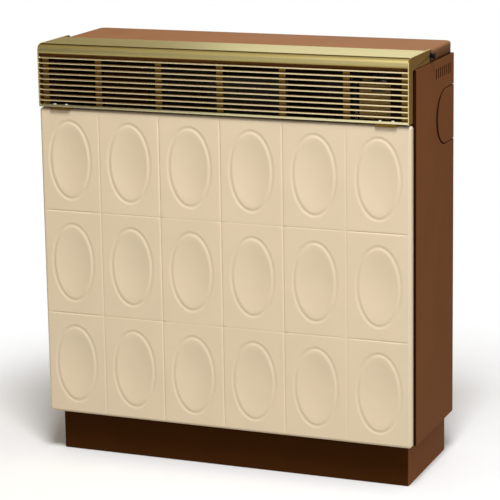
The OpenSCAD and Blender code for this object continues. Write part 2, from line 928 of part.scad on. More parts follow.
// Black hinge pins with a collar, a neck and a head
module hinge_pins() {
    collar_end = cheek_out + seat_gap + 0.25 * pin_out;
    head_start = cheek_out + 0.55 * pin_out;
    for (side = [0, 1]) color("#17130f") behind_face() mirror([side, 0, 0])
        translate([0, pivot_d, pivot_z]) {
            bar_x(frame_in - frame_sheet, cheek_out + pin_out, pin_r);
            bar_x(cheek_out + seat_gap, collar_end, pin_head_r);
            bar_x(head_start, cheek_out + pin_out, pin_head_r);
        }
}

// Sleeves on the pins between the frames and the cover's edge
module hinge_spacers() {
    for (side = [0, 1]) color("#17130f") behind_face() mirror([side, 0, 0])
        translate([0, pivot_d, pivot_z]) difference() {
            bar_x(frame_out, cover_x - sheet, pin_r + spacer_wall);
            bar_x(frame_out - over, cover_x + over, pin_r + running);
        }
}

// Hood section: flat top, a step down to the rounded nose, and a lip that runs back under it,
// then folds down to the top slat
module nose_outline(inset) {
    front = inset - hood_proud;
    top = hood_top - nose_drop - inset;
    low = lip_bottom + inset;
    r = nose_r - inset;
    foot_r = lip_r - inset;
    intersection() {
        translate([front + r, top - r]) circle(r);
        translate([front - over, top - r]) square([r + over, r + over]);
    }
    translate([front + r, low]) square([hood_d + over - front - r, top - low]);
    translate([front, low + foot_r]) square([r, top - r - low - foot_r]);
    translate([front + foot_r, low]) square([r, 2 * foot_r]);
    translate([front + foot_r, low + foot_r]) circle(foot_r);
    translate([nose_crown + inset, low]) square([hood_d + over - nose_crown, top + nose_drop - low]);
}
module hood() {
    color("#bfb07e") behind_face() across(-cheek_in, cheek_in) {
        difference() {
            intersection() {
                nose_outline(0);
                translate([-hood_proud - over, lip_bottom - over])
                    square([hood_d + hood_proud + over, nose_h + 2 * over]);
            }
            nose_outline(hood_wall);
            translate([lip_rear, lip_bottom - over]) square([hood_d, nose_h + over - hood_wall]);
        }
        translate([lip_rear - hood_wall, lip_fold_bottom])
            square([hood_wall, lip_bottom + hood_wall - lip_fold_bottom]);
    }
}

// Cheek: an upright leg at the front and an arm that reaches back to the pivot
module cheek() {
    leg_rear = cheek_leg - hood_proud;
    difference() {
        across(cheek_in, cheek_out) {
            translate([nose_crown, nose_centre]) circle(nose_r);
            translate([nose_crown, arm_bottom]) square([pivot_d - nose_crown, hood_top - arm_bottom]);
            translate([-hood_proud, bar_bottom]) square([cheek_leg, nose_centre - bar_bottom]);
            translate([leg_rear, arm_bottom - cheek_fillet]) difference() {
                square(cheek_fillet);
                translate([cheek_fillet, 0]) circle(cheek_fillet);
            }
            translate([pivot_d, pivot_z]) circle(arm_r);
        }
        translate([0, pivot_d, pivot_z]) bar_x(cheek_in - over, cheek_out + over, pin_r + running);
    }
}
module left_cheek() {
    color("#8f7a44") behind_face() mirror([1, 0, 0]) cheek();
}
module right_cheek() {
    color("#8f7a44") behind_face() cheek();
}

// Slats with rounded front edges, between the cheeks
module grille_slats() {
    for (i = [0 : slat_count - 1]) color("#c3b58c") behind_face()
        translate([0, 0, top_slat_z - i * slat_pitch]) {
            block([-cheek_in, slat_front + slat_t / 2, -slat_t / 2], [cheek_in, slat_rear, slat_t / 2]);
            translate([0, slat_front + slat_t / 2, 0]) bar_x(-cheek_in, cheek_in, slat_t / 2);
        }
}

// Bottom bar of the grille
module bottom_bar() {
    color("#e2cf9d") behind_face() difference() {
        across(-cheek_in, cheek_in)
            round_rect([bar_front, bar_bottom], [slat_rear, bar_bottom + bar_h], bar_r);
        for (x = [-tab_x, tab_x], side = [-1, 1])
            translate([x + side * rivet_pitch / 2, rivet_d, bar_bottom - over])
                cylinder(r = rivet_r, h = bar_h + 2 * over);
    }
}

// Posts behind the slats: one at each end and the rest in between
module grille_posts() {
    gap = 2 * panel_x / (post_count + 1);
    end_x = cheek_in - post_w / 2 - post_gap;
    places = concat([-end_x, end_x], [for (i = [1 : post_count]) i * gap - panel_x]);
    for (x = places) color("#82623b") behind_face()
        block([x - post_w / 2, slat_rear, bar_bottom], [x + post_w / 2, slat_rear + post_t, lip_bottom]);
}

// Catch tabs riveted under the bottom bar, turned down over the front panel's edge
module catch_tabs() {
    low = tab_x - tab_w / 2;
    high = tab_x + tab_w / 2;
    for (side = [0, 1]) color("#b38f3e") behind_face() mirror([side, 0, 0]) difference() {
        union() {
            block([low, bar_front, bar_bottom - tab_t], [high, slat_rear, bar_bottom]);
            block([low, bar_front, bar_bottom - tab_drop], [high, bar_front + tab_t, bar_bottom]);
        }
        for (s = [-1, 1]) translate([tab_x + s * rivet_pitch / 2, rivet_d, bar_bottom - 2 * tab_t])
            cylinder(r = rivet_r, h = 3 * tab_t);
    }
}

// Rivets through the bottom bar and the tabs
module catch_rivets() {
    for (x = [-tab_x, tab_x], s = [-1, 1]) color("#e8dfc4") behind_face()
        translate([x + s * rivet_pitch / 2, rivet_d, bar_bottom]) {
            translate([0, 0, -tab_t]) cylinder(r = rivet_r, h = bar_h + tab_t);
            translate([0, 0, bar_h]) cylinder(r1 = 2 * rivet_r, r2 = rivet_r, h = rivet_head_h);
        }
}

// Control plate: slotted front, shelf for the knob and an ear on the right frame
module control_plate() {
    slot = ctrl_slot_w / 2;
    slot_top = shelf_top - ctrl_slot_drop;
    color("#5d5a44") behind_face() difference() {
        union() {
            block([ctrl_left, ctrl_d, shelf_top - ctrl_h],
                [ctrl_right, ctrl_d + ctrl_sheet, shelf_top]);
            block([ctrl_left, ctrl_d, shelf_under], [ctrl_right, shelf_rear, shelf_top]);
            block([shelf_left, shelf_front, shelf_under], [frame_in, shelf_rear, shelf_top]);
            block([frame_in - ctrl_sheet, shelf_front, shelf_top - ear_h],
                [frame_in, shelf_rear, shelf_top]);
        }
        block([knob_x - slot, ctrl_d - over, slot_top - ctrl_slot_h],
            [knob_x + slot, ctrl_d + ctrl_sheet + over, slot_top]);
        translate([knob_x, knob_d, shelf_under - over])
            cylinder(r = neck_r + neck_gap, h = ctrl_sheet + 2 * over);
        translate([igniter_x, knob_d, shelf_under - over])
            cylinder(r = button_r + collar_wall + collar_gap, h = ctrl_sheet + 2 * over);
    }
}

// Thin dial plate round the knob
module dial_plate() {
    color("#c9c4b4") behind_face() translate([knob_x, knob_d, shelf_top]) difference() {
        cylinder(r = dial_r, h = dial_t);
        translate([0, 0, -over]) cylinder(r = neck_r + neck_gap, h = dial_t + 2 * over);
    }
}

// Die-cast gas valve hanging under the shelf, with its neck, magnet head and regulator cap
module gas_valve() {
    rear = valve_front + valve_d;
    color("#9a9890") behind_face() difference() {
        union() {
            block([valve_left, valve_front, valve_bottom], [valve_left + valve_w, rear, shelf_under]);
            translate([knob_x, knob_d, shelf_under]) cylinder(r = neck_r, h = ctrl_sheet + neck_h);
            translate([magnet_x, 0, magnet_z]) bar_y(rear, rear + magnet_len, magnet_r);
            translate([cap_x, 0, cap_z]) bar_y(valve_front - cap_len, valve_front, cap_r);
        }
        translate([knob_x, knob_d, spindle_low])
            cylinder(r = spindle_r + running, h = spindle_deep + ctrl_sheet + neck_h + over);
    }
}

// Spindle with a flat that turns the knob
module valve_spindle() {
    color("#b9b6ae") behind_face() translate([knob_x, knob_d, 0]) difference() {
        translate([0, 0, spindle_low + running])
            cylinder(r = spindle_r, h = spindle_top - spindle_low - running);
        block([-spindle_r, flat_x, flat_low], [spindle_r, spindle_r + 1, spindle_top + 1]);
    }
}

// Thermostat knob: fluted skirt, cap with a pointer rib and a keyed bore
module thermostat_knob() {
    bore_h = spindle_top - knob_bottom + knob_travel + neck_gap;
    side = spindle_r + over;
    color("#1d1813") behind_face() translate([knob_x, knob_d, knob_bottom]) difference() {
        union() {
            cylinder(r = knob_r, h = knob_skirt_h);
            cylinder(r = knob_cap_r, h = knob_h - knob_bevel);
            translate([0, 0, knob_h - knob_bevel])
                cylinder(r1 = knob_cap_r, r2 = knob_cap_r - knob_bevel, h = knob_bevel);
            block([-pointer_w / 2, pointer_w - knob_r, knob_skirt_h - over], [pointer_w / 2, 0, knob_h]);
        }
        for (i = [0 : flute_count - 1]) rotate(i * 360 / flute_count)
            translate([knob_cap_r + flute_in, 0, knob_skirt_h + flute_in])
                cylinder(r = flute_r, h = knob_h);
        translate([0, 0, -over]) cylinder(r = neck_r + 2, h = knob_recess + over);
        difference() {
            cylinder(r = spindle_r + running, h = bore_h);
            block([-side, flat_x + running, -over], [side, side, bore_h + over]);
        }
    }
}

// Piezo igniter body clamped under the shelf by its collar
module igniter_body() {
    wall_r = button_r + collar_wall;
    color("#201a16") behind_face() translate([igniter_x, knob_d, shelf_under]) difference() {
        union() {
            translate([0, 0, -igniter_h]) cylinder(r = igniter_r, h = igniter_h);
            cylinder(r = wall_r, h = ctrl_sheet + collar_h);
            translate([0, 0, ctrl_sheet]) hex(2 * wall_r + collar_nut, collar_nut_h);
        }
        translate([0, 0, -igniter_bore]) cylinder(r = button_r + running, h = 2 * igniter_bore);
    }
}

// Igniter push button with a domed end
module igniter_button() {
    rise = ctrl_sheet + collar_h + button_travel + 1;
    low = button_travel + seat_gap - igniter_bore;
    color("#1d1b19") behind_face() translate([igniter_x, knob_d, shelf_under]) {
        translate([0, 0, low]) cylinder(r = button_r, h = rise - low);
        translate([0, 0, rise]) cylinder(r1 = button_r, r2 = button_r - button_dome, h = button_dome);
    }
}

// Gas connection: a threaded spigot with a hexagon, pointing out of the back
module gas_inlet() {
    color("#c29a4a") behind_face() translate([inlet_x, 0, inlet_z]) difference() {
        union() {
            bar_y(case_d - inlet_len - seat_gap, case_d, inlet_r);
            translate([0, hex_d, 0]) rotate([-90, 0, 0]) hex(2 * inlet_r + inlet_wall, nut_h);
        }
        bar_y(hex_d + bracket_t, case_d + over, inlet_r - inlet_wall);
        bar_y(hex_d - over, hex_d + nut_h, inlet_pipe_r - pipe_wall);
    }
}

// Bracket on the base plate that holds the gas connection
module inlet_bracket() {
    half = inlet_r + bracket_side;
    left = inlet_x - half;
    right = inlet_x + half;
    color("#8d8a84") behind_face() difference() {
        union() {
            block([left, hex_d - bracket_t, base_top], [right, hex_d, inlet_z + half]);
            block([left, hex_d - bracket_foot, base_top], [right, hex_d, base_top + bracket_t]);
        }
        translate([inlet_x, 0, inlet_z])
            bar_y(hex_d - bracket_t - over, hex_d + over, inlet_pipe_r + running);
    }
}

// Pipes
module inlet_pipe() {
    module run(extra, r) {
        pipe([[inlet_x, inlet_port_d, valve_bottom + extra], [inlet_x, inlet_port_d, inlet_z],
            [inlet_x, hex_d + extra, inlet_z]], r, inlet_bend);
    }
    color("#b9793f") behind_face() difference() {
        run(0, inlet_pipe_r);
        run(over, inlet_pipe_r - pipe_wall);
    }
}
module burner_pipe() {
    color("#b9793f") behind_face()
        pipe([[burner_port_x, burner_port_d, valve_bottom], [burner_port_x, burner_port_d, burner_z],
            [burner_port_x, core_joint_d, burner_z], [injector_tip + injector_len, core_joint_d, burner_z]],
            burner_pipe_r, burner_bend);
}
module pilot_pipe() {
    color("#b9793f") behind_face()
        pipe([[pilot_port_x, pilot_port_d, valve_bottom], [pilot_port_x, pilot_port_d, pilot_z],
            [pilot_port_x, pilot_d, pilot_z], [pilot_x, pilot_d, pilot_z],
            [pilot_x, pilot_d, pilot_floor]], pilot_pipe_r, lead_bend);
}

// Union nuts under the valve, one round each pipe
module pipe_nuts() {
    ports = [[inlet_x, inlet_port_d, inlet_pipe_r, inlet_nut],
        [burner_port_x, burner_port_d, burner_pipe_r, burner_nut],
        [pilot_port_x, pilot_port_d, pilot_pipe_r, pilot_nut],
        [thermo_port_x, thermo_port_d, thermo_lead_r, thermo_nut]];
    for (port = ports) color("#c29a4a") behind_face()
        translate([port[0], port[1], valve_bottom - nut_h]) difference() {
            hex(port[3], nut_h);
            translate([0, 0, -over]) cylinder(r = port[2] + running, h = nut_h + 2 * over);
        }
}

// Thermostat sensor: a bulb in the incoming air and its capillary up to the valve
module sensor_bulb() {
    top = sensor_floor + sensor_len;
    loop = top + sensor_loop;
    color("#b8743a") behind_face() {
        translate([sensor_port_x, sensor_d, sensor_floor]) cylinder(r = sensor_r, h = sensor_len);
        pipe([[sensor_port_x, sensor_port_d, valve_bottom], [sensor_port_x, sensor_port_d, loop],
            [sensor_port_x, sensor_d, loop], [sensor_port_x, sensor_d, top - over]],
            sensor_lead_r, sensor_bend);
    }
}
module sensor_clip() {
    half = sensor_r + clip_wall;
    color("#8d8a84") behind_face() translate([sensor_port_x, sensor_d, 0]) difference() {
        block([-half, -clip_back, base_top], [half, half, sensor_floor + clip_grip]);
        translate([0, 0, sensor_floor]) cylinder(r = sensor_r + running, h = clip_grip + over);
        block([-sensor_r, -half - over, sensor_floor], [sensor_r, 0, sensor_floor + clip_grip + over]);
    }
}

// Half of the heat exchanger: a ribbed tray, open below, with a flange at the joint
module exchanger_half() {
    x = core_w / 2;
    pitch = core_w / rib_count;
    low = core_z + rib_low;
    high = core_top - rib_high;
    module shell(inset) {
        block([inset - x, inset - core_half_d, core_z - inset], [x - inset, inset, core_top - inset]);
        for (i = [0 : rib_count - 1]) translate([(i + 0.5) * pitch - x, 0, 0])
            block([inset - rib_w / 2, inset - core_half_d - rib_out, low + inset],
                [rib_w / 2 - inset, 0, high - inset]);
    }
    difference() {
        union() {
            shell(0);
            block([-x - flange_w, -core_sheet, core_z], [x + flange_w, 0, core_top + flange_w]);
        }
        shell(core_sheet);
        block([core_sheet - x, core_sheet - core_half_d, core_z - over],
            [x - core_sheet, over, core_top - core_sheet]);
    }
}
module exchanger_front() {
    color("#4a4540") behind_face() difference() {
        translate([core_x, core_joint_d, 0]) exchanger_half();
        translate([core_x, 0, sight_z])
            bar_y(core_front - over, core_front + core_sheet + over, glass_r - sight_lip);
    }
}
module exchanger_rear() {
    color("#4a4540") behind_face() difference() {
        translate([core_x, core_joint_d, 0]) mirror([0, 1, 0]) exchanger_half();
        translate([0, 0, outlet_z]) bar_y(core_rear - core_sheet - over, core_rear + over, outlet_r);
    }
}

// Bolts through the exchanger's flange
module exchanger_bolts() {
    x = (core_w + flange_w) / 2;
    top = core_top + flange_w / 2;
    heights = [for (z = [bolt_first : bolt_pitch : core_h - bolt_first]) core_z + z];
    places = concat([for (z = heights, s = [-x, x]) [s, z]],
        [for (i = [-2 : 2]) [i * core_w / 5, top]]);
    for (p = places, d = [-core_sheet - bolt_h, core_sheet]) color("#8d8a84") behind_face()
        translate([core_x + p[0], core_joint_d + d, p[1]]) rotate([-90, 0, 0])
            cylinder(r = bolt_r, h = bolt_h, $fn = 6);
}

// Four feet that stand the exchanger on the base plate, clear of the leads and the burner
module exchanger_feet() {
    x = core_w / 2;
    tab = core_z + foot_tab;
    gap = core_sheet + seat_gap;
    front_end = spark_d - spark_lead_r - foot_gap;
    rear_start = core_joint_d + burner_r + mouth_flare + 2;
    front = [front_end - foot_strip, core_joint_d - gap, front_end - foot_strip, front_end];
    rear = [core_joint_d + gap, core_rear, rear_start, core_rear];
    for (side = [0, 1], foot = [front, rear]) color("#4a4540") behind_face()
        translate([core_x, 0, 0]) mirror([side, 0, 0]) {
            block([x, foot[0], core_z], [x + foot_t, foot[1], tab]);
            block([x, foot[2], base_top], [x + foot_t, foot[3], tab]);
            block([x, foot[2], base_top], [x + foot_w, foot[3], base_top + foot_t]);
        }
}

// Sight glass and its frame on the exchanger's front
module sight_glass() {
    color("#d8e4e2", 0.4) behind_face() translate([core_x, 0, sight_z])
        bar_y(core_front - glass_t, core_front, glass_r);
}
module sight_frame() {
    color("#8d8a84") behind_face() translate([core_x, 0, sight_z]) difference() {
        bar_y(core_front - sight_t, core_front, glass_r + sight_rim);
        bar_y(core_front - glass_t, core_front + over, glass_r + running);
        bar_y(core_front - sight_t - over, core_front, glass_r - sight_lip);
        for (a = [0 : 90 : 270]) rotate([0, a, 0]) translate([glass_r + sight_rim / 2, 0, 0])
            bar_y(core_front - sight_t - over, core_front + over, sight_hole_r);
    }
}

// Burner tube with a row of port bars on top and a flared mouth
module burner_tube() {
    color("#6d6a66") behind_face() translate([0, core_joint_d, burner_z]) difference() {
        union() {
            bar_x(burner_left, burner_right, burner_r);
            translate([burner_right - mouth_len, 0, 0]) rotate([0, 90, 0])
                cylinder(r1 = burner_r, r2 = burner_r + mouth_flare, h = mouth_len);
            block([port_left, -port_bar_w, 0], [port_right, port_bar_w, burner_r + burner_wall]);
        }
        bar_x(burner_left + burner_wall, burner_right + over, burner_r - burner_wall);
        for (x = [port_left + port_len : port_pitch : port_right - 2 * port_len])
            block([x, -port_w, burner_r - 2 * burner_wall],
                [x + port_len, port_w, burner_r + burner_wall + over]);
    }
}
module burner_brackets() {
    half = burner_r + strap_side;
    for (x = strap_places) color("#8d8a84") behind_face() difference() {
        union() {
            block([x, core_joint_d - half, base_top], [x + strap_t, core_joint_d + half, burner_z]);
            block([x, core_joint_d - half, base_top],
                [x + strap_foot, core_joint_d + half, base_top + strap_t]);
        }
        translate([0, core_joint_d, burner_z])
            bar_x(x - over, x + strap_foot + over, burner_r + running);
    }
}

// Brass injector that blows gas into the burner's mouth
module gas_injector() {
    color("#c29a4a") behind_face() translate([injector_tip, core_joint_d, burner_z]) difference() {
        union() {
            rotate([0, 90, 0])
                cylinder(r1 = injector_nose, r2 = injector_hex / 2 - over, h = injector_cone);
            translate([injector_cone, 0, 0]) rotate([0, 90, 0])
                hex(injector_hex, injector_len - injector_cone);
        }
        bar_x(-over, injector_len + over, injector_bore);
    }
}

// Pilot bracket on the base plate, with the pilot, the thermocouple and the electrode in it
module pilot_bracket() {
    t = pilot_sheet;
    front = spark_d - spark_r - 2;
    left = pilot_x - pilot_side;
    right = pilot_x + pilot_side;
    rear = core_joint_d - burner_r - seat_gap;
    color("#8d8a84") behind_face() difference() {
        union() {
            block([left, front, base_top], [right, front + t, pilot_shelf_z]);
            block([left, front, pilot_shelf_z - t], [right, rear, pilot_shelf_z]);
            block([left, front - strap_foot, base_top], [right, front + t, base_top + t]);
        }
        for (hole = [[pilot_x, pilot_d, pilot_r], [thermo_x, thermo_d, thermo_r],
            [spark_x, spark_d, spark_r]])
            translate([hole[0], hole[1], pilot_shelf_z - t - over])
                cylinder(r = hole[2] + running, h = t + 2 * over);
    }
}
module pilot_burner() {
    color("#c29a4a") behind_face() translate([pilot_x, pilot_d, pilot_floor]) {
        cylinder(r = pilot_r, h = pilot_h);
        translate([0, 0, pilot_shelf_z - pilot_floor]) hex(2 * pilot_r + 1, pilot_cap);
        translate([0, 0, pilot_h]) cylinder(r1 = pilot_r, r2 = pilot_r / 2, h = pilot_cap);
    }
}
module thermocouple() {
    color("#b8743a") behind_face() {
        pipe([[thermo_port_x, thermo_port_d, valve_bottom], [thermo_port_x, thermo_port_d, thermo_z],
            [thermo_port_x, thermo_d, thermo_z], [thermo_x, thermo_d, thermo_z],
            [thermo_x, thermo_d, pilot_floor + over]], thermo_lead_r, lead_bend);
        translate([thermo_x, thermo_d, pilot_floor]) cylinder(r = thermo_r, h = thermo_h);
    }
}
module ignition_electrode() {
    low = pilot_floor - spark_r;
    color("#ece6da") behind_face() {
        pipe([[igniter_x, spark_d, shelf_under - igniter_h], [igniter_x, spark_d, spark_z],
            [spark_x, spark_d, spark_z], [spark_x, spark_d, low + over]], spark_lead_r, spark_bend);
        translate([spark_x, spark_d, low]) cylinder(r = spark_r, h = spark_h);
        translate([spark_x, spark_d, low + spark_h]) cylinder(r = spark_tip_r, h = spark_tip_h);
    }
}

// Draught diverter: a folded box behind the exchanger, open below
module draught_diverter() {
    x = diverter_x;
    wall = flue_wall;
    color("#9a948a") behind_face() difference() {
        block([-x, core_rear, diverter_bottom], [x, diverter_rear, diverter_top]);
        block([wall - x, core_rear + wall, diverter_bottom - over],
            [x - wall, diverter_rear - wall, diverter_top - wall]);
        translate([0, 0, outlet_z]) bar_y(core_rear - over, core_rear + wall + over, outlet_r);
        translate([0, 0, flue_z]) bar_y(diverter_rear - wall - over, diverter_rear + over, flue_r);
    }
}

// Flue collar: a spun socket with a flange on the diverter
module flue_collar() {
    color("#9a948a") behind_face() translate([0, 0, flue_z]) difference() {
        union() {
            bar_y(diverter_rear, case_d, flue_r + flue_wall);
            bar_y(diverter_rear, diverter_rear + collar_flange_t, flue_r + collar_flange);
        }
        bar_y(diverter_rear - over, case_d + over, flue_r);
    }
}

// Heat shield in front of the rear panel, on four spacers
module heat_shield() {
    color("#b5b2ab") behind_face() difference() {
        block([-shield_x, shield_d, base_top + shield_low],
            [shield_x, shield_d + shield_t, side_top - shield_high]);
        translate([0, 0, flue_z])
            bar_y(shield_d - over, shield_d + shield_t + over, flue_r + flue_wall + flue_gap);
    }
}
module shield_spacers() {
    x = shield_x - spacer_inset;
    for (s = [-x, x], z = [wall_hole_low, wall_hole_high])
        color("#8d8a84") behind_face() translate([s, 0, z]) bar_y(shield_d + shield_t, rear_in, spacer_r);
}

// Sheet that turns the warm air forwards, under the cover
module air_deflector() {
    t = sheet;
    bend = side_top - deflector_drop;
    tip = bend + deflector_rise;
    front = cover_front + deflector_edge;
    x = frame_in - deflector_edge;
    color("#2c241d") behind_face() {
        block([-frame_in, frame_rear - t, diverter_top + deflector_gap], [frame_in, frame_rear, bend]);
        across(-x, x)
            polygon([[frame_rear, bend - t], [frame_rear, bend], [front, tip], [front, tip - t],
                [frame_rear - t, bend - t]]);
    }
}

plinth();
base_plate();
left_frame();
right_frame();
rear_panel();
rear_rail();
front_rail();
left_side_panel();
right_side_panel();
top_cover();
cover_screws();
front_panel();
panel_hooks();
panel_clips();
hinge_pins();
hinge_spacers();
hood();
left_cheek();
right_cheek();
grille_slats();
bottom_bar();
grille_posts();
catch_tabs();
catch_rivets();
control_plate();
dial_plate();
gas_valve();
valve_spindle();
thermostat_knob();
igniter_body();
igniter_button();
gas_inlet();
inlet_bracket();
inlet_pipe();
burner_pipe();
pilot_pipe();
pipe_nuts();
sensor_bulb();
sensor_clip();
exchanger_front();
exchanger_rear();
exchanger_bolts();
exchanger_feet();
sight_glass();
sight_frame();
burner_tube();
burner_brackets();
gas_injector();
pilot_bracket();
pilot_burner();
thermocouple();
ignition_electrode();
draught_diverter();
flue_collar();
heat_shield();
shield_spacers();
air_deflector();
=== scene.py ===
import math
import bpy
from mathutils import Matrix, Vector


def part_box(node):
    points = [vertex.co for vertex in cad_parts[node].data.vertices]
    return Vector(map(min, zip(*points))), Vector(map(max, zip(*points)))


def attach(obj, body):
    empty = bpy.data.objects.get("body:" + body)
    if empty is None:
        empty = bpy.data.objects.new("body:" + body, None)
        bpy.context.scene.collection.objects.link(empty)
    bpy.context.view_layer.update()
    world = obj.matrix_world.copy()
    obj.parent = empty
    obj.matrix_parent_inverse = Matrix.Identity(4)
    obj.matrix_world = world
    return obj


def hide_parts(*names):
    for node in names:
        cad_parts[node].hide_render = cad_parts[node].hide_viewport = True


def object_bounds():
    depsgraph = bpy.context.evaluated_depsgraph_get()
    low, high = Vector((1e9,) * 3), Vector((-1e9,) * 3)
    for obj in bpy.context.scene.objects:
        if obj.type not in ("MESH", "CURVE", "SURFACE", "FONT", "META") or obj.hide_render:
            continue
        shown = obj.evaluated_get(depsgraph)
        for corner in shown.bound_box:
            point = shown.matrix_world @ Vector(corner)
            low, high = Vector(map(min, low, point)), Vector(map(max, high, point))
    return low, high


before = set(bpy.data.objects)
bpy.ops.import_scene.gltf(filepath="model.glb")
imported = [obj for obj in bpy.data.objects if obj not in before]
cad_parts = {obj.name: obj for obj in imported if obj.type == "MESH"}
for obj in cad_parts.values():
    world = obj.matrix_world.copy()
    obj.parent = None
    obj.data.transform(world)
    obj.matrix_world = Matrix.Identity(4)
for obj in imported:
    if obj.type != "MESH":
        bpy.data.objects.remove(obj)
cad_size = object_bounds()

# Camera. It stands 3.5 m off the heater's right front corner and half a metre above its top,
# with a long lens whose axis meets the square picture above its middle.
mm = 0.001
picture_px = 500
axis_row_px = 200
focal_px = 2161.3
sensor_mm = 36
camera_place = (1313.1 * mm, -3246.15 * mm, 1172 * mm)
yaw = math.radians(21.958)
pitch = math.radians(11.916)
tilt = math.radians(-0.902)
forward = Vector((-math.sin(yaw) * math.cos(pitch), math.cos(yaw) * math.cos(pitch), -math.sin(pitch)))
level = Vector((math.cos(yaw), math.sin(yaw), 0))
upright = level.cross(forward)
across = level * math.cos(tilt) + upright * math.sin(tilt)
upwards = upright * math.cos(tilt) - level * math.sin(tilt)
lens = bpy.data.cameras.new("camera")
lens.sensor_width = sensor_mm
lens.lens = focal_px * sensor_mm / picture_px
lens.shift_y = (axis_row_px - picture_px / 2) / picture_px
lens.clip_end = 50
camera = bpy.data.objects.new("camera", lens)
camera_axes = Matrix((across, upwards, -forward)).transposed().to_4x4()
camera.matrix_world = Matrix.Translation(camera_place) @ camera_axes
bpy.context.scene.collection.objects.link(camera)
bpy.context.scene.camera = camera


# Studio. A white room with one large soft lamp high in front on the right, a pale floor that takes
# the heater's shadow and runs out into plain white, and tinted boards that keep the left and the
# far right darker, as a photographer stands them beside bright metal.
class Field:
    """A value that varies over a surface. Sums on it add Math nodes, and | gives the larger of
    two. Without an output it only adds a tree's first nodes."""

    def __init__(self, tree, output=None):
        self.tree = tree
        self.output = output

    def node(self, kind, settings=None, inputs=None, output=0):
        """Adds a node: its settings first, then each input's value or link."""
        made = self.tree.nodes.new("ShaderNode" + kind)
        for name, value in (settings or {}).items():
            setattr(made, name, value)
        for name, value in (inputs or {}).items():
            if isinstance(value, Field):
                self.tree.links.new(value.output, made.inputs[name])
            else:
                made.inputs[name].default_value = value
        return Field(self.tree, made.outputs[output])

    def sum(self, operation, first, second=0):
        return self.node("Math", {"operation": operation}, {0: first, 1: second})

    def __add__(self, other):
        return self.sum("ADD", self, other)

    def __sub__(self, other):
        return self.sum("SUBTRACT", self, other)

    def __rsub__(self, other):
        return self.sum("SUBTRACT", other, self)

    def __mul__(self, other):
        return self.sum("MULTIPLY", self, other)

    def __or__(self, other):
        return self.sum("MAXIMUM", self, other)

    __radd__ = __add__
    __rmul__ = __mul__
    __ror__ = __or__

    def part(self, axis):
        """A place's X, Y or Z, by its number."""
        return self.node("SeparateXYZ", {}, {0: self}, axis)

    def unsigned(self):
        return self.sum("ABSOLUTE", self)

    def rise(self, low, high):
        """0 below low, 1 above high and smooth in between."""
        return self.node("MapRange", {"interpolation_type": "SMOOTHSTEP"},
            {"Value": self, "From Min": low, "From Max": high})

    def between(self, first, second):
        """The first colour where this is 0 and the second where it is 1."""
        return self.node("Mix", {"data_type": "RGBA"}, {0: self, 6: first, 7: second}, 2)

    def feed(self, shader, socket):
        self.tree.links.new(self.output, shader.inputs[socket])


def srgb(red, green, blue):
    """A colour as a screen shows it, 0 to 255, as a shader takes it."""
    shares = [value / 255 for value in (red, green, blue)]
    return [s / 12.92 if s <= 0.04045 else ((s + 0.055) / 1.055) ** 2.4 for s in shares] + [1]


def seen_directly(tree):
    """1 on what the camera sees, straight or in metal or glass."""
    straight = Field(tree).node("LightPath", output="Is Camera Ray")
    in_metal = Field(tree).node("LightPath", output="Is Glossy Ray")
    in_glass = Field(tree).node("LightPath", output="Is Transmission Ray")
    return straight | in_metal | in_glass


room_level = 0.62
room = bpy.data.worlds.new("white_room")
room.use_nodes = True
bpy.context.scene.world = room
backdrop = room.node_tree.nodes["Background"]
backdrop.inputs["Color"].default_value = (1, 1, 1, 1)
(seen_directly(room.node_tree) * (1 - room_level) + room_level).feed(backdrop, "Strength")

lamp_place = Vector((0.8, -1.6, 3.5))
heater_middle = (cad_size[0] + cad_size[1]) / 2
lamp = bpy.data.lights.new("key_lamp", "AREA")
lamp.size = 1.0
lamp.energy = 122
lamp_stand = bpy.data.objects.new("key_lamp", lamp)
lamp_stand.location = lamp_place
lamp_stand.rotation_mode = "QUATERNION"
lamp_stand.rotation_quaternion = (heater_middle - lamp_place).to_track_quat("-Z", "Y")
bpy.context.scene.collection.objects.link(lamp_stand)


def matt_coat(name, roughness):
    """A studio material without its colour, and its shader."""
    coat = bpy.data.materials.new(name)
    coat.use_nodes = True
    shader = coat.node_tree.nodes["Principled BSDF"]
    shader.inputs["Roughness"].default_value = roughness
    return coat, shader


def stage_plane(name, corners, coat):
    """A flat board or floor of the studio."""
    mesh = bpy.data.meshes.new(name)
    mesh.from_pydata(corners, [], [(0, 1, 2, 3)])
    mesh.materials.append(coat)
    board = bpy.data.objects.new(name, mesh)
    bpy.context.scene.collection.objects.link(board)
    return board


for name, x, near, far, height, colour in (
        ("left_front_board", -1.2, -3.1, -0.6, 3.2, srgb(66, 54, 30)),
        ("left_rear_board", -1.2, -0.6, 2.7, 3.2, srgb(150, 134, 104)),
        ("right_board", 1.0, 0.4, 3.4, 1.2, srgb(140, 125, 95))):
    board_coat, board_shader = matt_coat(name, 1.0)
    board_shader.inputs["Base Color"].default_value = colour
    board_shader.inputs["Specular IOR Level"].default_value = 0.0
    corners = [(x, near, 0), (x, far, 0), (x, far, height), (x, near, height)]
    stage_plane(name, corners, board_coat).visible_camera = False

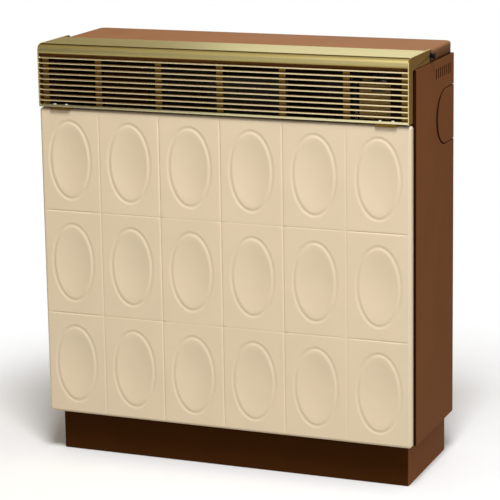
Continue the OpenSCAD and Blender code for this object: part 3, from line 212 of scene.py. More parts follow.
floor_reach = 6
shadow_end = 0.45
white_start = 0.95
floor_coat, floor_shader = matt_coat("white_floor", 0.9)
floor_tree = floor_coat.node_tree
floor_seen = seen_directly(floor_tree)
floor_seen.between(srgb(165, 160, 150), srgb(240, 240, 240)).feed(floor_shader, "Base Color")
floor_place = Field(floor_tree).node("TexCoord", output="Object")
from_heater = floor_place.node("VectorMath", {"operation": "LENGTH"}, {0: floor_place}, 1)
floor_lit = Field(floor_tree, floor_shader.outputs[0])
glow = floor_lit.node("Emission", {}, {"Color": (1, 1, 1, 1), "Strength": 1.0})
whiteness = from_heater.rise(shadow_end, white_start) * floor_seen
whiteness.node("MixShader", {}, {0: whiteness, 1: floor_lit, 2: glow}).feed(
    floor_tree.nodes["Material Output"], "Surface")
floor_corners = [(x * floor_reach, y * floor_reach, 0) for x, y in ((-1, -1), (1, -1), (1, 1), (-1, 1))]
stage_plane("floor", floor_corners, floor_coat)
bpy.context.scene.view_settings.view_transform = "Standard"


# Plinth and base plate. The plinth is a folded steel ring with a fold along its top and foot,
# in brown enamel whose front is darker than its ends, as painted shade under the front panel's
# overhang; the base plate is welded on it and has two rows of air slots.
def new_finish(name, fixed):
    """A material whose fixed values are set: its shader, and the place on the piece."""
    made = bpy.data.materials.new(name)
    made.use_nodes = True
    shader = made.node_tree.nodes["Principled BSDF"]
    for socket, value in fixed.items():
        shader.inputs[socket].default_value = value
    return made, shader, Field(made.node_tree).node("TexCoord", output="Object")


def noise(place, size, stretch=(1, 1, 1), detail=2.0):
    """Soft noise whose blots are about this size, in metres, times the stretch."""
    blot = [size * share for share in stretch]
    scaled = place.node("VectorMath", {"operation": "DIVIDE"}, {0: place, 1: blot})
    return place.node("TexNoise", {},
        {"Vector": scaled, "Scale": 1.0, "Detail": detail, "Roughness": 0.55})


def clouds(place, size, first, second, low=0.3, high=0.7, stretch=(1, 1, 1)):
    """Two colours that run into each other in clouds of about this size."""
    return noise(place, size, stretch).rise(low, high).between(first, second)


def bump(height, depth):
    """Raises the surface by up to this depth, in metres, where the height is 1."""
    return height.node("Bump", {}, {"Height": height, "Strength": 1.0, "Distance": depth})


def shades(colour, spread):
    """A darker and a lighter shade of a colour, this share of it apart."""
    return [[value * (1 + way * spread / 2) for value in colour[:3]] + [1] for way in (-1, 1)]


def enamel(name, colour, spread, ripple, fixed, other=None, where=None):
    """Stove enamel: a faintly cloudy colour on a surface with the ripple of an orange skin. Where
    gives, from the place, how far each point has the other colour, which paints shade or light,
    such as the painted shade on a side's cut edges."""
    made, shader, place = new_finish(name, fixed)
    tone = clouds(place, 60 * mm, *shades(colour, spread))
    if where:
        tone = where(place).between(tone, other)
    tone.feed(shader, "Base Color")
    bump(noise(place, 2.2 * mm), ripple).feed(shader, "Normal")
    (noise(place, 25 * mm) * 0.12 + (fixed["Roughness"] - 0.06)).feed(shader, "Roughness")
    return made


def dress(node, finish, edge=0.3 * mm):
    """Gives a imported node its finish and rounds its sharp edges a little."""
    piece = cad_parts[node]
    mesh = piece.data
    mesh.materials.clear()
    mesh.materials.append(finish)
    if edge:
        mesh.attributes.remove(mesh.attributes["custom_normal"])
        mesh.attributes.remove(mesh.attributes["sharp_edge"])
        mesh.shade_smooth()
        weld = piece.modifiers.new("weld", "WELD")
        weld.merge_threshold = 0.002 * mm
        rounding = piece.modifiers.new("rounding", "BEVEL")
        rounding.width = edge
        rounding.segments = 2
        rounding.limit_method = "ANGLE"
        rounding.angle_limit = math.radians(40)
        rounding.use_clamp_overlap = False
        rounding.harden_normals = True


plinth_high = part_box("plinth")[1]


def plinth_sides(place):
    """The plinth's two ends, lighter than its front: painted light and painted shade on one enamel."""
    return place.part(0).unsigned().rise(plinth_high.x - 1.4 * mm, plinth_high.x - 0.6 * mm)


# The front's dark brown is painted shade and the ends' lighter brown is painted light, on one enamel.
plinth_enamel = enamel("plinth_enamel", srgb(70, 39, 14), spread=0.06, ripple=0.02 * mm,
    fixed={"Roughness": 0.6, "Specular IOR Level": 0.01}, other=srgb(132, 84, 52), where=plinth_sides)
dress("plinth", plinth_enamel, 0.5 * mm)
dress("base_plate", plinth_enamel)


# Frames and rails. Two folded upright sheets stand on the base plate and carry the hinge and the
# front panel; two channels join them under the top cover. All have matt dark brown paint.
def frame_paint():
    made, shader, place = new_finish("frame_paint", {"Specular IOR Level": 0.1})
    clouds(place, 8 * mm, srgb(38, 25, 15), srgb(46, 32, 20)).feed(shader, "Base Color")
    (noise(place, 3 * mm) * 0.3 + 0.55).feed(shader, "Roughness")
    bump(noise(place, 0.8 * mm), 0.05 * mm).feed(shader, "Normal")
    return made


dark_paint = frame_paint()
for node in ("left_frame", "right_frame", "rear_rail", "front_rail"):
    dress(node, dark_paint)


# Heat exchanger. Two ribbed black cast-iron halves are bolted together round their flange and
# stand on four feet; a round sight glass in a zinc frame shows the flames.
def cast_iron():
    made, shader, place = new_finish("black_cast_iron", {"Specular IOR Level": 0.12})
    clouds(place, 40 * mm, srgb(30, 26, 22), srgb(52, 42, 34), 0.45, 0.75).feed(shader, "Base Color")
    (noise(place, 5 * mm) * 0.25 + 0.6).feed(shader, "Roughness")
    bump(noise(place, 1.2 * mm, detail=4.0), 0.25 * mm).feed(shader, "Normal")
    return made


def plated(name, colour, other, metallic, gloss):
    """Dull plated metal: clouds of two shades and a fine rolled grain along X."""
    made, shader, place = new_finish(name, {"Metallic": metallic})
    grain = noise(place, 0.35 * mm, (30, 1, 1))
    clouds(place, 9 * mm, colour, other).feed(shader, "Base Color")
    (grain * 0.2 + noise(place, 6 * mm) * 0.15 + (gloss - 0.15)).feed(shader, "Roughness")
    bump(grain, 0.01 * mm).feed(shader, "Normal")
    return made


def sight_glazing():
    made, shader, place = new_finish("clear_glass",
        {"Transmission Weight": 1.0, "IOR": 1.47, "Base Color": srgb(226, 238, 236)})
    (noise(place, 12 * mm) * 0.06 + 0.01).feed(shader, "Roughness")
    return made


iron = cast_iron()
zinc = plated("zinc_steel", srgb(186, 184, 176), srgb(200, 192, 166), 1.0, 0.38)
for node in ("exchanger_front", "exchanger_rear"):
    dress(node, iron, 0.8 * mm)
dress("exchanger_feet", dark_paint)
dress("exchanger_bolts", zinc, 0.25 * mm)
dress("sight_frame", zinc, 0.5 * mm)
dress("sight_glass", sight_glazing(), 0.4 * mm)


# Burner, pilot and their leads. A steel burner tube lies on two brackets and takes gas from a
# brass injector; the pilot, the thermocouple and the spark electrode stand in one bracket.
def copper():
    made, shader, place = new_finish("copper_pipe", {"Metallic": 1.0})
    tarnish = noise(place, 18 * mm).rise(0.4, 0.7)
    tarnish.between(srgb(196, 124, 82), srgb(140, 82, 52)).feed(shader, "Base Color")
    (tarnish * 0.25 + 0.28).feed(shader, "Roughness")
    bump(noise(place, 1.5 * mm), 0.02 * mm).feed(shader, "Normal")
    return made


def brass(name, colour, gloss):
    made, shader, place = new_finish(name, {"Metallic": 1.0})
    stain = noise(place, 7 * mm).rise(0.45, 0.75)
    stain.between(colour, shades(colour, 0.5)[0]).feed(shader, "Base Color")
    (stain * 0.2 + gloss).feed(shader, "Roughness")
    bump(noise(place, 0.5 * mm, (1, 1, 6)), 0.01 * mm).feed(shader, "Normal")
    return made


def heat_blued():
    made, shader, place = new_finish("burner_steel", {"Metallic": 1.0})
    clouds(place, 30 * mm, srgb(132, 124, 114), srgb(96, 84, 92), 0.35, 0.65).feed(shader, "Base Color")
    (noise(place, 4 * mm) * 0.2 + 0.4).feed(shader, "Roughness")
    bump(noise(place, 0.6 * mm, (12, 1, 1)), 0.02 * mm).feed(shader, "Normal")
    return made


def ceramic():
    made, shader, place = new_finish("white_ceramic", {"Coat Weight": 0.6, "Coat Roughness": 0.1})
    clouds(place, 5 * mm, srgb(228, 222, 208), srgb(240, 236, 226)).feed(shader, "Base Color")
    (noise(place, 3 * mm) * 0.1 + 0.2).feed(shader, "Roughness")
    bump(noise(place, 1.5 * mm), 0.02 * mm).feed(shader, "Normal")
    return made


pipe_copper = copper()
fitting_brass = brass("brass_fitting", srgb(204, 164, 92), 0.22)
dress("burner_tube", heat_blued(), 0)
dress("burner_brackets", zinc)
dress("gas_injector", fitting_brass, 0.2 * mm)
dress("pilot_bracket", zinc)
dress("pilot_burner", fitting_brass, 0.2 * mm)
dress("ignition_electrode", ceramic(), 0)
for node in ("thermocouple", "burner_pipe", "pilot_pipe", "inlet_pipe", "sensor_bulb"):
    dress(node, pipe_copper, 0)
dress("sensor_clip", zinc)
dress("pipe_nuts", fitting_brass, 0.3 * mm)


# Draught diverter, flue collar, heat shield and air deflector. The first three are folded or spun
# from aluminised steel, whose coat shows a coarse spangle and whose grey is darkened as painted
# shade inside the casing; the deflector takes the frames' dark brown, also as painted shade.
def spangled():
    made, shader, place = new_finish("aluminised_steel", {"Metallic": 1.0})
    scaled = place.node("VectorMath", {"operation": "SCALE"}, {0: place, "Scale": 1 / (9 * mm)})
    crystal = place.node("TexVoronoi", {}, {"Vector": scaled, "Scale": 1.0}, 1)
    tone = crystal.node("SeparateColor", {}, {0: crystal})
    # The spangle's dark greys are painted shade: the aluminised coat is kept dark so the casing's
    # inside looks dark.
    tone.rise(0.1, 0.9).between(srgb(66, 62, 56), srgb(84, 80, 73)).feed(shader, "Base Color")
    (tone * 0.18 + 0.42).feed(shader, "Roughness")
    bump(noise(place, 0.9 * mm), 0.015 * mm).feed(shader, "Normal")
    return made


spangle = spangled()
for node in ("draught_diverter", "heat_shield", "flue_collar"):
    dress(node, spangle)
# The deflector gets the frames' dark brown as painted shade inside the casing.
dress("air_deflector", dark_paint)
dress("shield_spacers", zinc, 0.4 * mm)


# Gas connection. A brass spigot with a hexagon and a pipe thread points out of the back; a zinc
# bracket holds it on the base plate.
dress("gas_inlet", fitting_brass, 0.3 * mm)
dress("inlet_bracket", zinc)


# Controls. A folded plate behind the grille carries the gas valve, its black thermostat knob over
# a numbered dial, and the igniter with its black button.
def moulded(name, colour, gloss, shine=0.3):
    """Moulded plastic with a fine grain and a little handling shine."""
    made, shader, place = new_finish(name, {"Specular IOR Level": shine})
    clouds(place, 6 * mm, *shades(colour, 0.12)).feed(shader, "Base Color")
    (noise(place, 4 * mm) * 0.15 + gloss).feed(shader, "Roughness")
    bump(noise(place, 0.35 * mm), 0.02 * mm).feed(shader, "Normal")
    return made


def cast_alloy():
    made, shader, place = new_finish("cast_aluminium", {"Metallic": 1.0})
    clouds(place, 6 * mm, srgb(148, 148, 144), srgb(170, 170, 166)).feed(shader, "Base Color")
    (noise(place, 3 * mm) * 0.2 + 0.45).feed(shader, "Roughness")
    bump(noise(place, 1.0 * mm, detail=4.0), 0.1 * mm).feed(shader, "Normal")
    return made


def ochre_paint():
    made, shader, place = new_finish("control_plate_paint", {"Specular IOR Level": 0.3})
    clouds(place, 10 * mm, srgb(214, 178, 102), srgb(224, 190, 114)).feed(shader, "Base Color")
    (noise(place, 3 * mm) * 0.2 + 0.5).feed(shader, "Roughness")
    bump(noise(place, 0.8 * mm), 0.04 * mm).feed(shader, "Normal")
    return made


dial_finish = plated("dial_aluminium", srgb(206, 201, 186), srgb(214, 210, 198), 1.0, 0.4)
black = moulded("black_plastic", srgb(26, 22, 19), 0.34)
dress("control_plate", ochre_paint())
dress("gas_valve", cast_alloy(), 0.8 * mm)
dress("valve_spindle", zinc, 0.2 * mm)
dress("dial_plate", dial_finish, 0.15 * mm)
dress("thermostat_knob", black, 0.3 * mm)
dress("igniter_body", black, 0.3 * mm)
dress("igniter_button", black, 0.4 * mm)


def dial_print():
    made, shader, place = new_finish("dial_print", {"Specular IOR Level": 0.3})
    clouds(place, 1.5 * mm, srgb(30, 27, 24), srgb(44, 40, 36)).feed(shader, "Base Color")
    (noise(place, 1 * mm) * 0.2 + 0.45).feed(shader, "Roughness")
    bump(noise(place, 0.3 * mm), 0.005 * mm).feed(shader, "Normal")
    return made


def make_piece(name, points, faces, finish, slot, body, replaced=(), crease=30):
    """A new mesh piece that is smooth except across folds sharper than the crease."""
    mesh = bpy.data.meshes.new(name)
    mesh.from_pydata(points, [], faces)
    mesh.validate()
    mesh.materials.append(finish)
    mesh.shade_smooth()
    mesh.set_sharp_from_angle(angle=math.radians(crease))
    piece = bpy.data.objects.new(name, mesh)
    bpy.context.scene.collection.objects.link(piece)
    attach(piece, body)
    if replaced:
        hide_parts(*replaced)
    return piece


def strips(first, count, levels):
    """Four-sided faces between rings of points, each ring with this many points."""
    return [(first + k * count + i, first + k * count + (i + 1) % count,
        first + (k + 1) * count + (i + 1) % count, first + (k + 1) * count + i)
        for k in range(levels - 1) for i in range(count)]


dial_top = 7
dial_turn = 270
number_h = 5.5 * mm
number_inset = 3.6 * mm
ink_half = 0.04 * mm


def dial_numbers():
    """The numbers 0 to 7 round the dial, their feet outwards, as one thin printed layer."""
    low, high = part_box("dial_plate")
    ring = (high.x - low.x) / 2 - number_inset
    points = []
    faces = []
    for number in range(dial_top + 1):
        letter = bpy.data.curves.new("number", "FONT")
        letter.body = str(number)
        letter.size = number_h
        letter.extrude = ink_half
        letter.align_x = "CENTER"
        letter.align_y = "CENTER"
        holder = bpy.data.objects.new("number", letter)
        shape = bpy.data.meshes.new_from_object(holder)
        turn = Matrix.Rotation(math.radians(number * dial_turn / dial_top), 4, "Z")
        spot = Matrix.Translation(((low.x + high.x) / 2, (low.y + high.y) / 2, high.z + letter.extrude))
        first = len(points)
        for vertex in shape.vertices:
            points.append(spot @ turn @ (vertex.co - Vector((0, ring, 0))))
        faces += [[first + i for i in polygon.vertices] for polygon in shape.polygons]
        bpy.data.objects.remove(holder)
        bpy.data.meshes.remove(shape)
        bpy.data.curves.remove(letter)
    return points, faces


make_piece("dial_numbers", *dial_numbers(), dial_print(), "black_plastic", "casing")

mark_start = 6 * mm
mark_end = 15 * mm
mark_half = 0.9 * mm
# Its section from the foot up: the share of its width, and the height over the knob's top.
mark_levels = ((1, -0.2 * mm), (1, 0.15 * mm), (0.8, 0.3 * mm), (0.4, 0.38 * mm))


def pointer_mark():
    """A domed white line with round ends, let into the knob's pointer."""
    low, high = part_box("thermostat_knob")
    x = (low.x + high.x) / 2
    points = []
    for share, rise in mark_levels:
        half = mark_half * share
        for middle, start in ((low.y + mark_end, 0), (low.y + mark_start, math.pi)):
            for step in range(13):
                angle = start + math.pi * step / 12
                points.append((x + half * math.cos(angle), middle + half * math.sin(angle),
                    high.z + rise))
    levels = len(mark_levels)
    count = len(points) // levels
    faces = strips(0, count, levels)
    faces.append(tuple(range((levels - 1) * count, levels * count)))
    faces.append(tuple(reversed(range(count))))
    return points, faces


mark_white = moulded("white_mark", srgb(240, 238, 230), 0.3)
make_piece("pointer_mark", *pointer_mark(), mark_white, "white_ceramic", "knob")


# Rear panel and side panels. Folded sheets in brown enamel; each side has eight vent slots at the
# top and the slit of a flue blank. The four holes of the rear panel take the wall screws.
side_low, side_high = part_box("right_side_panel")
blank_r = 46 * mm
slit_y = side_high.y - 51 * mm
slit_z = 579 * mm
slit_r = 44.5 * mm
slit_spread = 4.4 * mm


def side_bare(place):
    """Painted shade on a side: its front fold in the gap behind the front panel, its inner face and
    the cut edges of its openings, and the slit's shadowed step, a crescent that is widest at its front."""
    y = place.part(1)
    out = place.part(0).unsigned()
    fold = 1 - y.rise(side_low.y + 2.4 * mm, side_low.y + 4.2 * mm)
    inner = 1 - out.rise(side_high.x - 0.5 * mm, side_high.x - 0.2 * mm)
    cut_edges = y.rise(side_low.y + 6 * mm, side_low.y + 8 * mm) * inner
    before = y - slit_y
    before = before.sum("MINIMUM", before)
    over = place.part(2) - slit_z
    radius = before.sum("SQRT", before * before + over * over)
    off_line = (radius - slit_r).unsigned() - before * before * (slit_spread / blank_r ** 2)
    slit = (1 - off_line.rise(0.6 * mm, 1.4 * mm)) * (1 - y.rise(slit_y - 12 * mm, slit_y))
    return fold | cut_edges | slit


brown = srgb(126, 80, 47)
brown_gloss = {"Roughness": 0.55, "Specular IOR Level": 0.01}
# The sides' dark brown on the front fold, the inner face, the cut edges and the slit is painted shade.
side_enamel = enamel("side_enamel", brown, spread=0.05, ripple=0.03 * mm, fixed=brown_gloss,
    other=srgb(50, 21, 10), where=side_bare)
rear_enamel = enamel("rear_enamel", brown, spread=0.05, ripple=0.03 * mm, fixed=brown_gloss)
dress("rear_panel", rear_enamel)
dress("left_side_panel", side_enamel, 0.25 * mm)
dress("right_side_panel", side_enamel, 0.25 * mm)


# Top cover. A folded tray in brown enamel with rolled edges, round corners and a shallow front
# fold. Two slotted screws hold it at the back.
cover_low, cover_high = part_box("top_cover")
cover_sheet = 1.2 * mm
cover_roll = 4 * mm
cover_front_fold = 9 * mm
front_corner_r = 4.5 * mm
rear_corner_r = 12 * mm


def cover_rim():
    """Points round the cover seen from above, each with its outward direction."""
    rim = []
    for x_side, y_side, start in ((1, -1, -90), (1, 1, 0), (-1, 1, 90), (-1, -1, 180)):
        radius = rear_corner_r if y_side > 0 else front_corner_r
        x = x_side * (cover_high.x - radius)
        y = (cover_high.y - radius) if y_side > 0 else (cover_low.y + radius)
        for step in range(9):
            angle = math.radians(start + 90 * step / 8)
            out = Vector((math.cos(angle), math.sin(angle)))
            rim.append((x + radius * out.x, y + radius * out.y, out))
    return rim


def cover_mesh():
    """The tray as one skin: flat top, rolled edges and folds, of which the front one is shallow."""
    rim = cover_rim()
    count = len(rim)
    points = []
    for step in range(8):
        angle = math.pi / 2 * step / 7
        inward = cover_roll * (1 - math.sin(angle))
        z = cover_high.z - cover_roll * (1 - math.cos(angle))
        points += [(x - out.x * inward, y - out.y * inward, z) for x, y, out in rim]
    for x, y, out in rim:
        front = y < cover_low.y + 2 * mm
        points.append((x, y, cover_high.z - cover_front_fold if front else cover_low.z))
    faces = [tuple(range(count))]
    faces += [(a, d, c, b) for a, b, c, d in strips(0, count, len(points) // count)]
    return points, faces


def sheet_metal(piece, thickness):
    """Gives a skin its sheet's thickness, inwards."""
    sheet = piece.modifiers.new("sheet", "SOLIDIFY")
    sheet.thickness = thickness
    sheet.offset = -1


# The cover's brown is lighter than the sides' and the rear's brown of the same enamel: painted light
# from above.
cover_enamel = enamel("cover_enamel", srgb(138, 97, 66), spread=0.05, ripple=0.03 * mm,
    fixed=brown_gloss)
cover_tray = make_piece("cover_tray", *cover_mesh(), cover_enamel, "cover_enamel", "casing",
    replaced=("top_cover",), crease=50)
sheet_metal(cover_tray, cover_sheet)
dress("cover_screws", dark_paint, 0.3 * mm)


# Front panel. One steel pressing in cream enamel with rolled edges: eighteen tiles, each with an
# oval ring round a shallow hollow, parted by pressed seams. It hangs on two zinc hooks and snaps
# on two spring clips.
panel_low, panel_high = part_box("front_panel")
tile_cols = 6
tile_rows = 3
tile_w = (panel_high.x - panel_low.x) / tile_cols
tile_steps = (16, 26)
edge_roll = 5 * mm
panel_sheet = 1.5 * mm
ring_half = 4.6 * mm
ring_a = 36.2 * mm
ring_b = 64.5 * mm
ring_depth = 0.75 * mm
dish_depth = 2.6 * mm
seam_half = 1.9 * mm
upright_seams = (0.5 * mm, 1.15 * mm, 1.15 * mm, 1.15 * mm, 0.4 * mm)
level_seams = (0.7 * mm, 0.3 * mm, 0.14 * mm, 0.14 * mm, 0.3 * mm, 0.7 * mm)
col_lines = [panel_low.x + i * tile_w for i in range(tile_cols + 1)]
row_lines = [panel_low.z + share * (panel_high.z - panel_low.z) for share in (0, 0.334, 0.67, 1)]


def ease(value, low, high):
    """0 at low, 1 at high and smooth in between."""
    share = min(max((value - low) / (high - low), 0), 1)
    return share * share * (3 - 2 * share)


def groove(offset, half):
    """The section of a pressed groove, 1 in its middle and 0 past half its width."""
    return math.cos(min(abs(offset) / half, 1) * math.pi / 2) ** 2


def tile_middle(col, row):
    return col_lines[col] + tile_w / 2, (row_lines[row] + row_lines[row + 1]) / 2


def pressed(x, z):
    """How far the face is pressed back at a point of the panel."""
    col = min(int((x - panel_low.x) / tile_w), tile_cols - 1)
    row = sum(z > line for line in row_lines[1:-1])
    middle = tile_middle(col, row)
    dx = x - middle[0]
    dz = z - middle[1]
    level = math.hypot(dx / ring_a, dz / ring_b)
    slope = math.hypot(dx / ring_a ** 2, dz / ring_b ** 2) / max(level, 1e-6)
    ring = ring_depth * groove((level - 1) / max(slope, 1), ring_half)
    inner = level * ring_a / (ring_a - ring_half)
    dish = dish_depth * max(1 - inner ** 2, 0)
    near_col, upright_depth = min(zip(col_lines[1:-1], upright_seams),
        key=lambda seam: abs(seam[0] - x))
    near_row = min(row_lines[1:-1], key=lambda line: abs(line - z))
    to_end = min(z - panel_low.z, panel_high.z - z)
    to_col = min(abs(line - x) for line in col_lines)
    upright = upright_depth * groove(x - near_col, seam_half) * ease(to_end, 8 * mm, 14 * mm)
    flat = level_seams[col] * groove(z - near_row, seam_half) * ease(to_col, 5 * mm, 10 * mm)
    return max(ring, dish, upright, flat)


def tile_border(low, high, inset):
    """Points round a tile's border, drawn in by inset, from its lower left corner."""
    corners = [(low[0] + inset, low[1] + inset), (high[0] - inset, low[1] + inset),
        (high[0] - inset, high[1] - inset), (low[0] + inset, high[1] - inset)]
    points = []
    for i, start in enumerate(corners):
        end = corners[(i + 1) % 4]
        count = tile_steps[i % 2]
        points += [[start[k] + (end[k] - start[k]) * j / count for k in (0, 1)] for j in range(count)]
    return points


def oval(middle, angles, offset):
    """Points at these angles of a tile's oval ring, drawn out by offset."""
    points = []
    for angle in angles:
        out = Vector((ring_b * math.cos(angle), ring_a * math.sin(angle))).normalized()
        points.append([middle[0] + ring_a * math.cos(angle) + out.x * offset,
            middle[1] + ring_b * math.sin(angle) + out.y * offset])
    return points


def tile_rings(col, row):
    """The tile's rings of points in X and Z, from its border through the oval to its middle."""
    low = [col_lines[col] + edge_roll * (col == 0), row_lines[row] + edge_roll * (row == 0)]
    high = [col_lines[col + 1] - edge_roll * (col == tile_cols - 1),
        row_lines[row + 1] - edge_roll * (row == tile_rows - 1)]
    middle = tile_middle(col, row)
    rings = [tile_border(low, high, inset * mm) for inset in (0, 0.5, 1, 1.5, 2, 4)]
    border = rings[-1]
    angles = [math.atan2((z - middle[1]) / ring_b, (x - middle[0]) / ring_a) for x, z in border]
    outer = oval(middle, angles, 1.25 * ring_half)
    rings.append([[a[k] + (b[k] - a[k]) / 2 for k in (0, 1)] for a, b in zip(border, outer)])
    for step in (1.25, 1, 0.86, 0.72, 0.58, 0.44, 0.3, 0.15, 0,
            -0.15, -0.3, -0.44, -0.58, -0.72, -0.86, -1, -1.15):
        rings.append(oval(middle, angles, step * ring_half))
    last = rings[-1]
    for share in (0.93, 0.84, 0.71, 0.55, 0.37, 0.18):
        rings.append([[middle[k] + (p[k] - middle[k]) * share for k in (0, 1)] for p in last])
    return rings, middle


def panel_rim():
    """Spots round the flat of the face, each with its outward direction; a corner is one spot with
    a fan of directions."""
    x0, x1 = panel_low.x + edge_roll, panel_high.x - edge_roll
    z0, z1 = panel_low.z + edge_roll, panel_high.z - edge_roll
    corners = ((x0, z0), (x1, z0), (x1, z1), (x0, z1))
    rim = []
    for side, start in enumerate(corners):
        end = corners[(side + 1) % 4]
        axis = side % 2
        lines = (row_lines if axis else col_lines)[1:-1]
        stops = [start[axis]] + sorted(lines, reverse=end[axis] < start[axis]) + [end[axis]]
        out = Vector((end[1] - start[1], start[0] - end[0])).normalized()
        for a, b in zip(stops, stops[1:]):
            for j in range(tile_steps[axis]):
                spot = list(start)
                spot[axis] = a + (b - a) * j / tile_steps[axis]
                rim.append((spot, out))
        turn = math.atan2(out.y, out.x)
        for step in range(7):
            angle = turn + math.pi / 2 * step / 6
            rim.append((list(end), Vector((math.cos(angle), math.sin(angle)))))
    return rim


def front_panel_mesh():
    """The pressed face with its rolled edges, as one skin."""
    points = []
    faces = []
    places = {}

    def point(x, y, z):
        key = (round(x, 6), round(y, 6), round(z, 6))
        if key not in places:
            places[key] = len(points)
            points.append((x, y, z))
        return places[key]

    def face_point(x, z):
        return point(x, panel_low.y + pressed(x, z), z)

    for col in range(tile_cols):
        for row in range(tile_rows):
            rings, middle = tile_rings(col, row)
            marks = [[face_point(x, z) for x, z in ring] for ring in rings]
            count = len(marks[0])
            for outer, inner in zip(marks, marks[1:]):
                faces += [(outer[i], outer[(i + 1) % count], inner[(i + 1) % count], inner[i])
                    for i in range(count)]
            hub = face_point(*middle)
            faces += [(marks[-1][i], marks[-1][(i + 1) % count], hub) for i in range(count)]

    rim = panel_rim()
    count = len(rim)
    last = [face_point(*spot) for spot, out in rim]
    darker_places = [math.pi / 2 * step / 8 for step in range(1, 9)]
    levels = [(edge_roll * math.sin(a), edge_roll * (1 - math.cos(a))) for a in darker_places]
    levels += [(edge_roll, panel_high.y - panel_low.y)]
    for reach, back in levels:
        following = [point(spot[0] + out.x * reach, panel_low.y + back, spot[1] + out.y * reach)
            for spot, out in rim]
        for i in range(count):
            corners = [last[i], last[(i + 1) % count], following[(i + 1) % count], following[i]]
            unique = [c for k, c in enumerate(corners) if c != corners[k - 1]]
            if len(unique) > 2:
                faces.append(tuple(reversed(unique)))
        last = following
    return points, faces


cream = enamel("cream_enamel", srgb(232, 213, 182), spread=0.03, ripple=0.02 * mm,
    fixed={"Roughness": 0.34, "Coat Weight": 0.15, "Coat Roughness": 0.3})
front_pressing = make_piece("front_pressing", *front_panel_mesh(), cream, "cream_enamel", "casing",
    replaced=("front_panel",), crease=50)
sheet_metal(front_pressing, panel_sheet)
dress("panel_hooks", zinc)
dress("panel_clips", zinc)


# Flap. A gold anodised hood with a round nose, two cheeks, nine slats over upright posts and a
# bottom bar; two brass catch tabs are riveted under the bar. It swings up about the hinge pins.
def anodised(name, colour, gloss, shade_brown=None, shade_mask=None, darker_places=()):
    """Gold anodised aluminium with the fine lines of its drawing along X. A mask gives, from the
    place, how far each point takes a dull brown, which is painted shade; the last values are other
    places painted darker, also as painted shade, each with its colour."""
    made, shader, place = new_finish(name, {"Metallic": 1.0, "Specular Tint": srgb(255, 250, 228)})
    lines = noise(place, 0.5 * mm, (60, 1, 1))
    rough = lines * 0.12 + gloss
    tone = clouds(place, 30 * mm, *shades(colour, 0.08), stretch=(8, 1, 1))
    for where, darker in darker_places:
        tone = where(place).between(tone, darker)
    if shade_mask:
        dull = shade_mask(place)
        tone = dull.between(tone, shade_brown)
        rough = rough + dull * 0.35
        (1 - dull * 0.6).feed(shader, "Metallic")
    tone.feed(shader, "Base Color")
    rough.feed(shader, "Roughness")
    bump(lines, 0.008 * mm).feed(shader, "Normal")
    return made


hood_low, hood_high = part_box("hood")
bar_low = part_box("bottom_bar")[0]
slat_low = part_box("grille_slats")[0]
nose_rear = hood_low.y + 9 * mm


def under_top(place):
    """How far a point is under the hood's flat top."""
    return hood_high.z - place.part(2)


# The lip and fold under the nose, which get a dull brown as painted shade.
def hood_underside(place):
    return under_top(place).rise(14.6 * mm, 17.6 * mm)


# The nose's face, which gets a darker gold as painted shade on its reflection.
def nose_face(place):
    return 1 - place.part(1).rise(nose_rear - 0.9 * mm, nose_rear - 0.4 * mm)


def nose_bends(place):
    """The nose's upper and lower curves, painted a darker gold as painted shade on their reflections.
    """
    below = under_top(place)
    return nose_face(place) * (below.rise(11 * mm, 13.5 * mm) | (1 - below.rise(4.5 * mm, 7 * mm)))


def step_line(place):
    """The narrow step between the nose and the hood's flat top, painted dark as painted shade."""
    return 1 - (place.part(1) - nose_rear).unsigned().rise(0.5 * mm, 1 * mm)


# The slats' bodies behind their front edges, which get a dark brown as painted shade.
def slat_backs(place):
    return place.part(1).rise(slat_low.y + 0.3 * mm, slat_low.y + 0.6 * mm)


# The bar's back and foot, which get a dark brown as painted shade; the foot's line is a painted shadow
# over the gap to the front panel.
def bar_back_and_foot(place):
    back = place.part(1).rise(bar_low.y + 2.5 * mm, bar_low.y + 3.5 * mm)
    return back | (1 - place.part(2).rise(bar_low.z + 0.5 * mm, bar_low.z + 1.2 * mm))


def cheek_sides(place):
    """All of a cheek but its front edge and its top edge, which gets a dull brown as painted shade."""
    behind = place.part(1).rise(hood_low.y + 0.5 * mm, hood_low.y + 1.2 * mm)
    return behind * under_top(place).rise(0.4 * mm, 1.2 * mm)


# Painted shade on the hood: a darker gold on the nose's face, darker still on its curves, and a dark
# line at the step.
hood_painted_shades = ((nose_face, srgb(202, 187, 128)), (nose_bends, srgb(170, 153, 96)),
    (step_line, srgb(104, 84, 38)))
hood_gold = anodised("hood_gold", srgb(216, 206, 152), 0.32, srgb(132, 84, 32), hood_underside,
    hood_painted_shades)
slat_gold = anodised("slat_gold", srgb(240, 224, 178), 0.2, srgb(98, 60, 12), slat_backs)
bar_gold = anodised("bar_gold", srgb(238, 228, 180), 0.22, srgb(84, 60, 20), bar_back_and_foot)
cheek_gold = anodised("cheek_gold", srgb(226, 210, 150), 0.34, srgb(120, 88, 34), cheek_sides)
dress("hood", hood_gold)
dress("grille_slats", slat_gold)
dress("bottom_bar", bar_gold)
# The posts' darker gold is painted shade between the slats.
dress("grille_posts", anodised("post_gold", srgb(152, 120, 54), 0.45))
for node in ("left_cheek", "right_cheek"):
    dress(node, cheek_gold)
dress("catch_tabs", brass("brass_plate", srgb(122, 92, 38), 0.4))
# The rivets' near-white is a painted highlight standing in for the glint on their heads.
rivet_zinc_and_glint = plated("rivet_zinc_and_glint", srgb(244, 240, 228), srgb(228, 222, 206), 0.3, 0.3)
dress("catch_rivets", rivet_zinc_and_glint, 0.2 * mm)


# Hinge pins and spacers. Black moulded pins with a collar and a head stand out of the cheeks; a
# sleeve keeps each frame clear of the cover.
pin_low, pin_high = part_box("hinge_pins")
pin_inner = min(abs(vertex.co.x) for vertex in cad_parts["hinge_pins"].data.vertices)
pin_points = 72
pin_flutes = 12
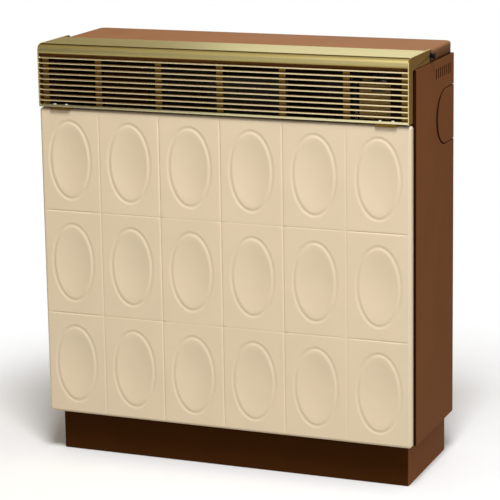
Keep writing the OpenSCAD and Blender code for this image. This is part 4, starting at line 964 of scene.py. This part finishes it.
# Its section from the collar out to the head: millimetres in from the pin's outer end, the radius
# and the depth of the flutes.
pin_section = ((8.7, 3.45, 0), (8.7, 4.6, 0), (8.3, 5, 0), (7.2, 5, 0), (6.8, 4.6, 0), (6.4, 3.3, 0),
    (4.9, 3.3, 0), (4.5, 4.7, 0.25), (4, 5, 0.5), (1.2, 5, 0.5), (0.4, 4.5, 0.3), (0, 3.4, 0))
tongue_half = 2
tongue_drop = 8.2
tongue_round = 1.8


def tongue_outline():
    """The thumb tongue under the collar, in millimetres from the pin's middle."""
    tip = [math.pi * step / 8 for step in range(9)]
    return [(-tongue_half, 0), (tongue_half, 0)] + [
        (tongue_half * math.cos(a), -tongue_drop - tongue_round * math.sin(a)) for a in tip]


def hinge_pin_pair():
    """Both pins as turned, each with a collar, a fluted head and a thumb tongue."""
    y, z = (pin_low.y + pin_high.y) / 2, (pin_low.z + pin_high.z) / 2
    section = [(pin_inner, 2.8, 0), (pin_inner + 0.7 * mm, 3.45, 0)]
    section += [(pin_high.x - inset * mm, radius, flute) for inset, radius, flute in pin_section]
    tongue = tongue_outline()
    levels = len(section)
    points = []
    faces = []
    for side in (1, -1):
        first = len(points)
        for reach, radius, flute in section:
            for i in range(pin_points):
                angle = 2 * math.pi * i / pin_points
                r = (radius - flute * (1 - math.cos(pin_flutes * angle)) / 2) * mm
                points.append((side * reach, y + r * math.cos(angle), z + r * math.sin(angle)))
        mine = strips(first, pin_points, levels)
        mine.append(tuple(reversed(range(first, first + pin_points))))
        mine.append(tuple(range(first + (levels - 1) * pin_points, first + levels * pin_points)))
        start = len(points)
        for inset in (8.4 * mm, 7.1 * mm):
            points += [(side * (pin_high.x - inset), y + a * mm, z + b * mm) for a, b in tongue]
        size = len(tongue)
        mine += [(start + i, start + size + i, start + size + (i + 1) % size, start + (i + 1) % size)
            for i in range(size)]
        mine.append(tuple(range(start, start + size)))
        mine.append(tuple(reversed(range(start + size, start + 2 * size))))
        faces += mine if side > 0 else [tuple(reversed(face)) for face in mine]
    return points, faces


pin_black = moulded("pin_black", srgb(7, 6, 5), 0.25, 0.12)
make_piece("hinge_pin_pair", *hinge_pin_pair(), pin_black, "black_plastic", "casing",
    replaced=("hinge_pins",), crease=35)
dress("hinge_spacers", black, 0.2 * mm)
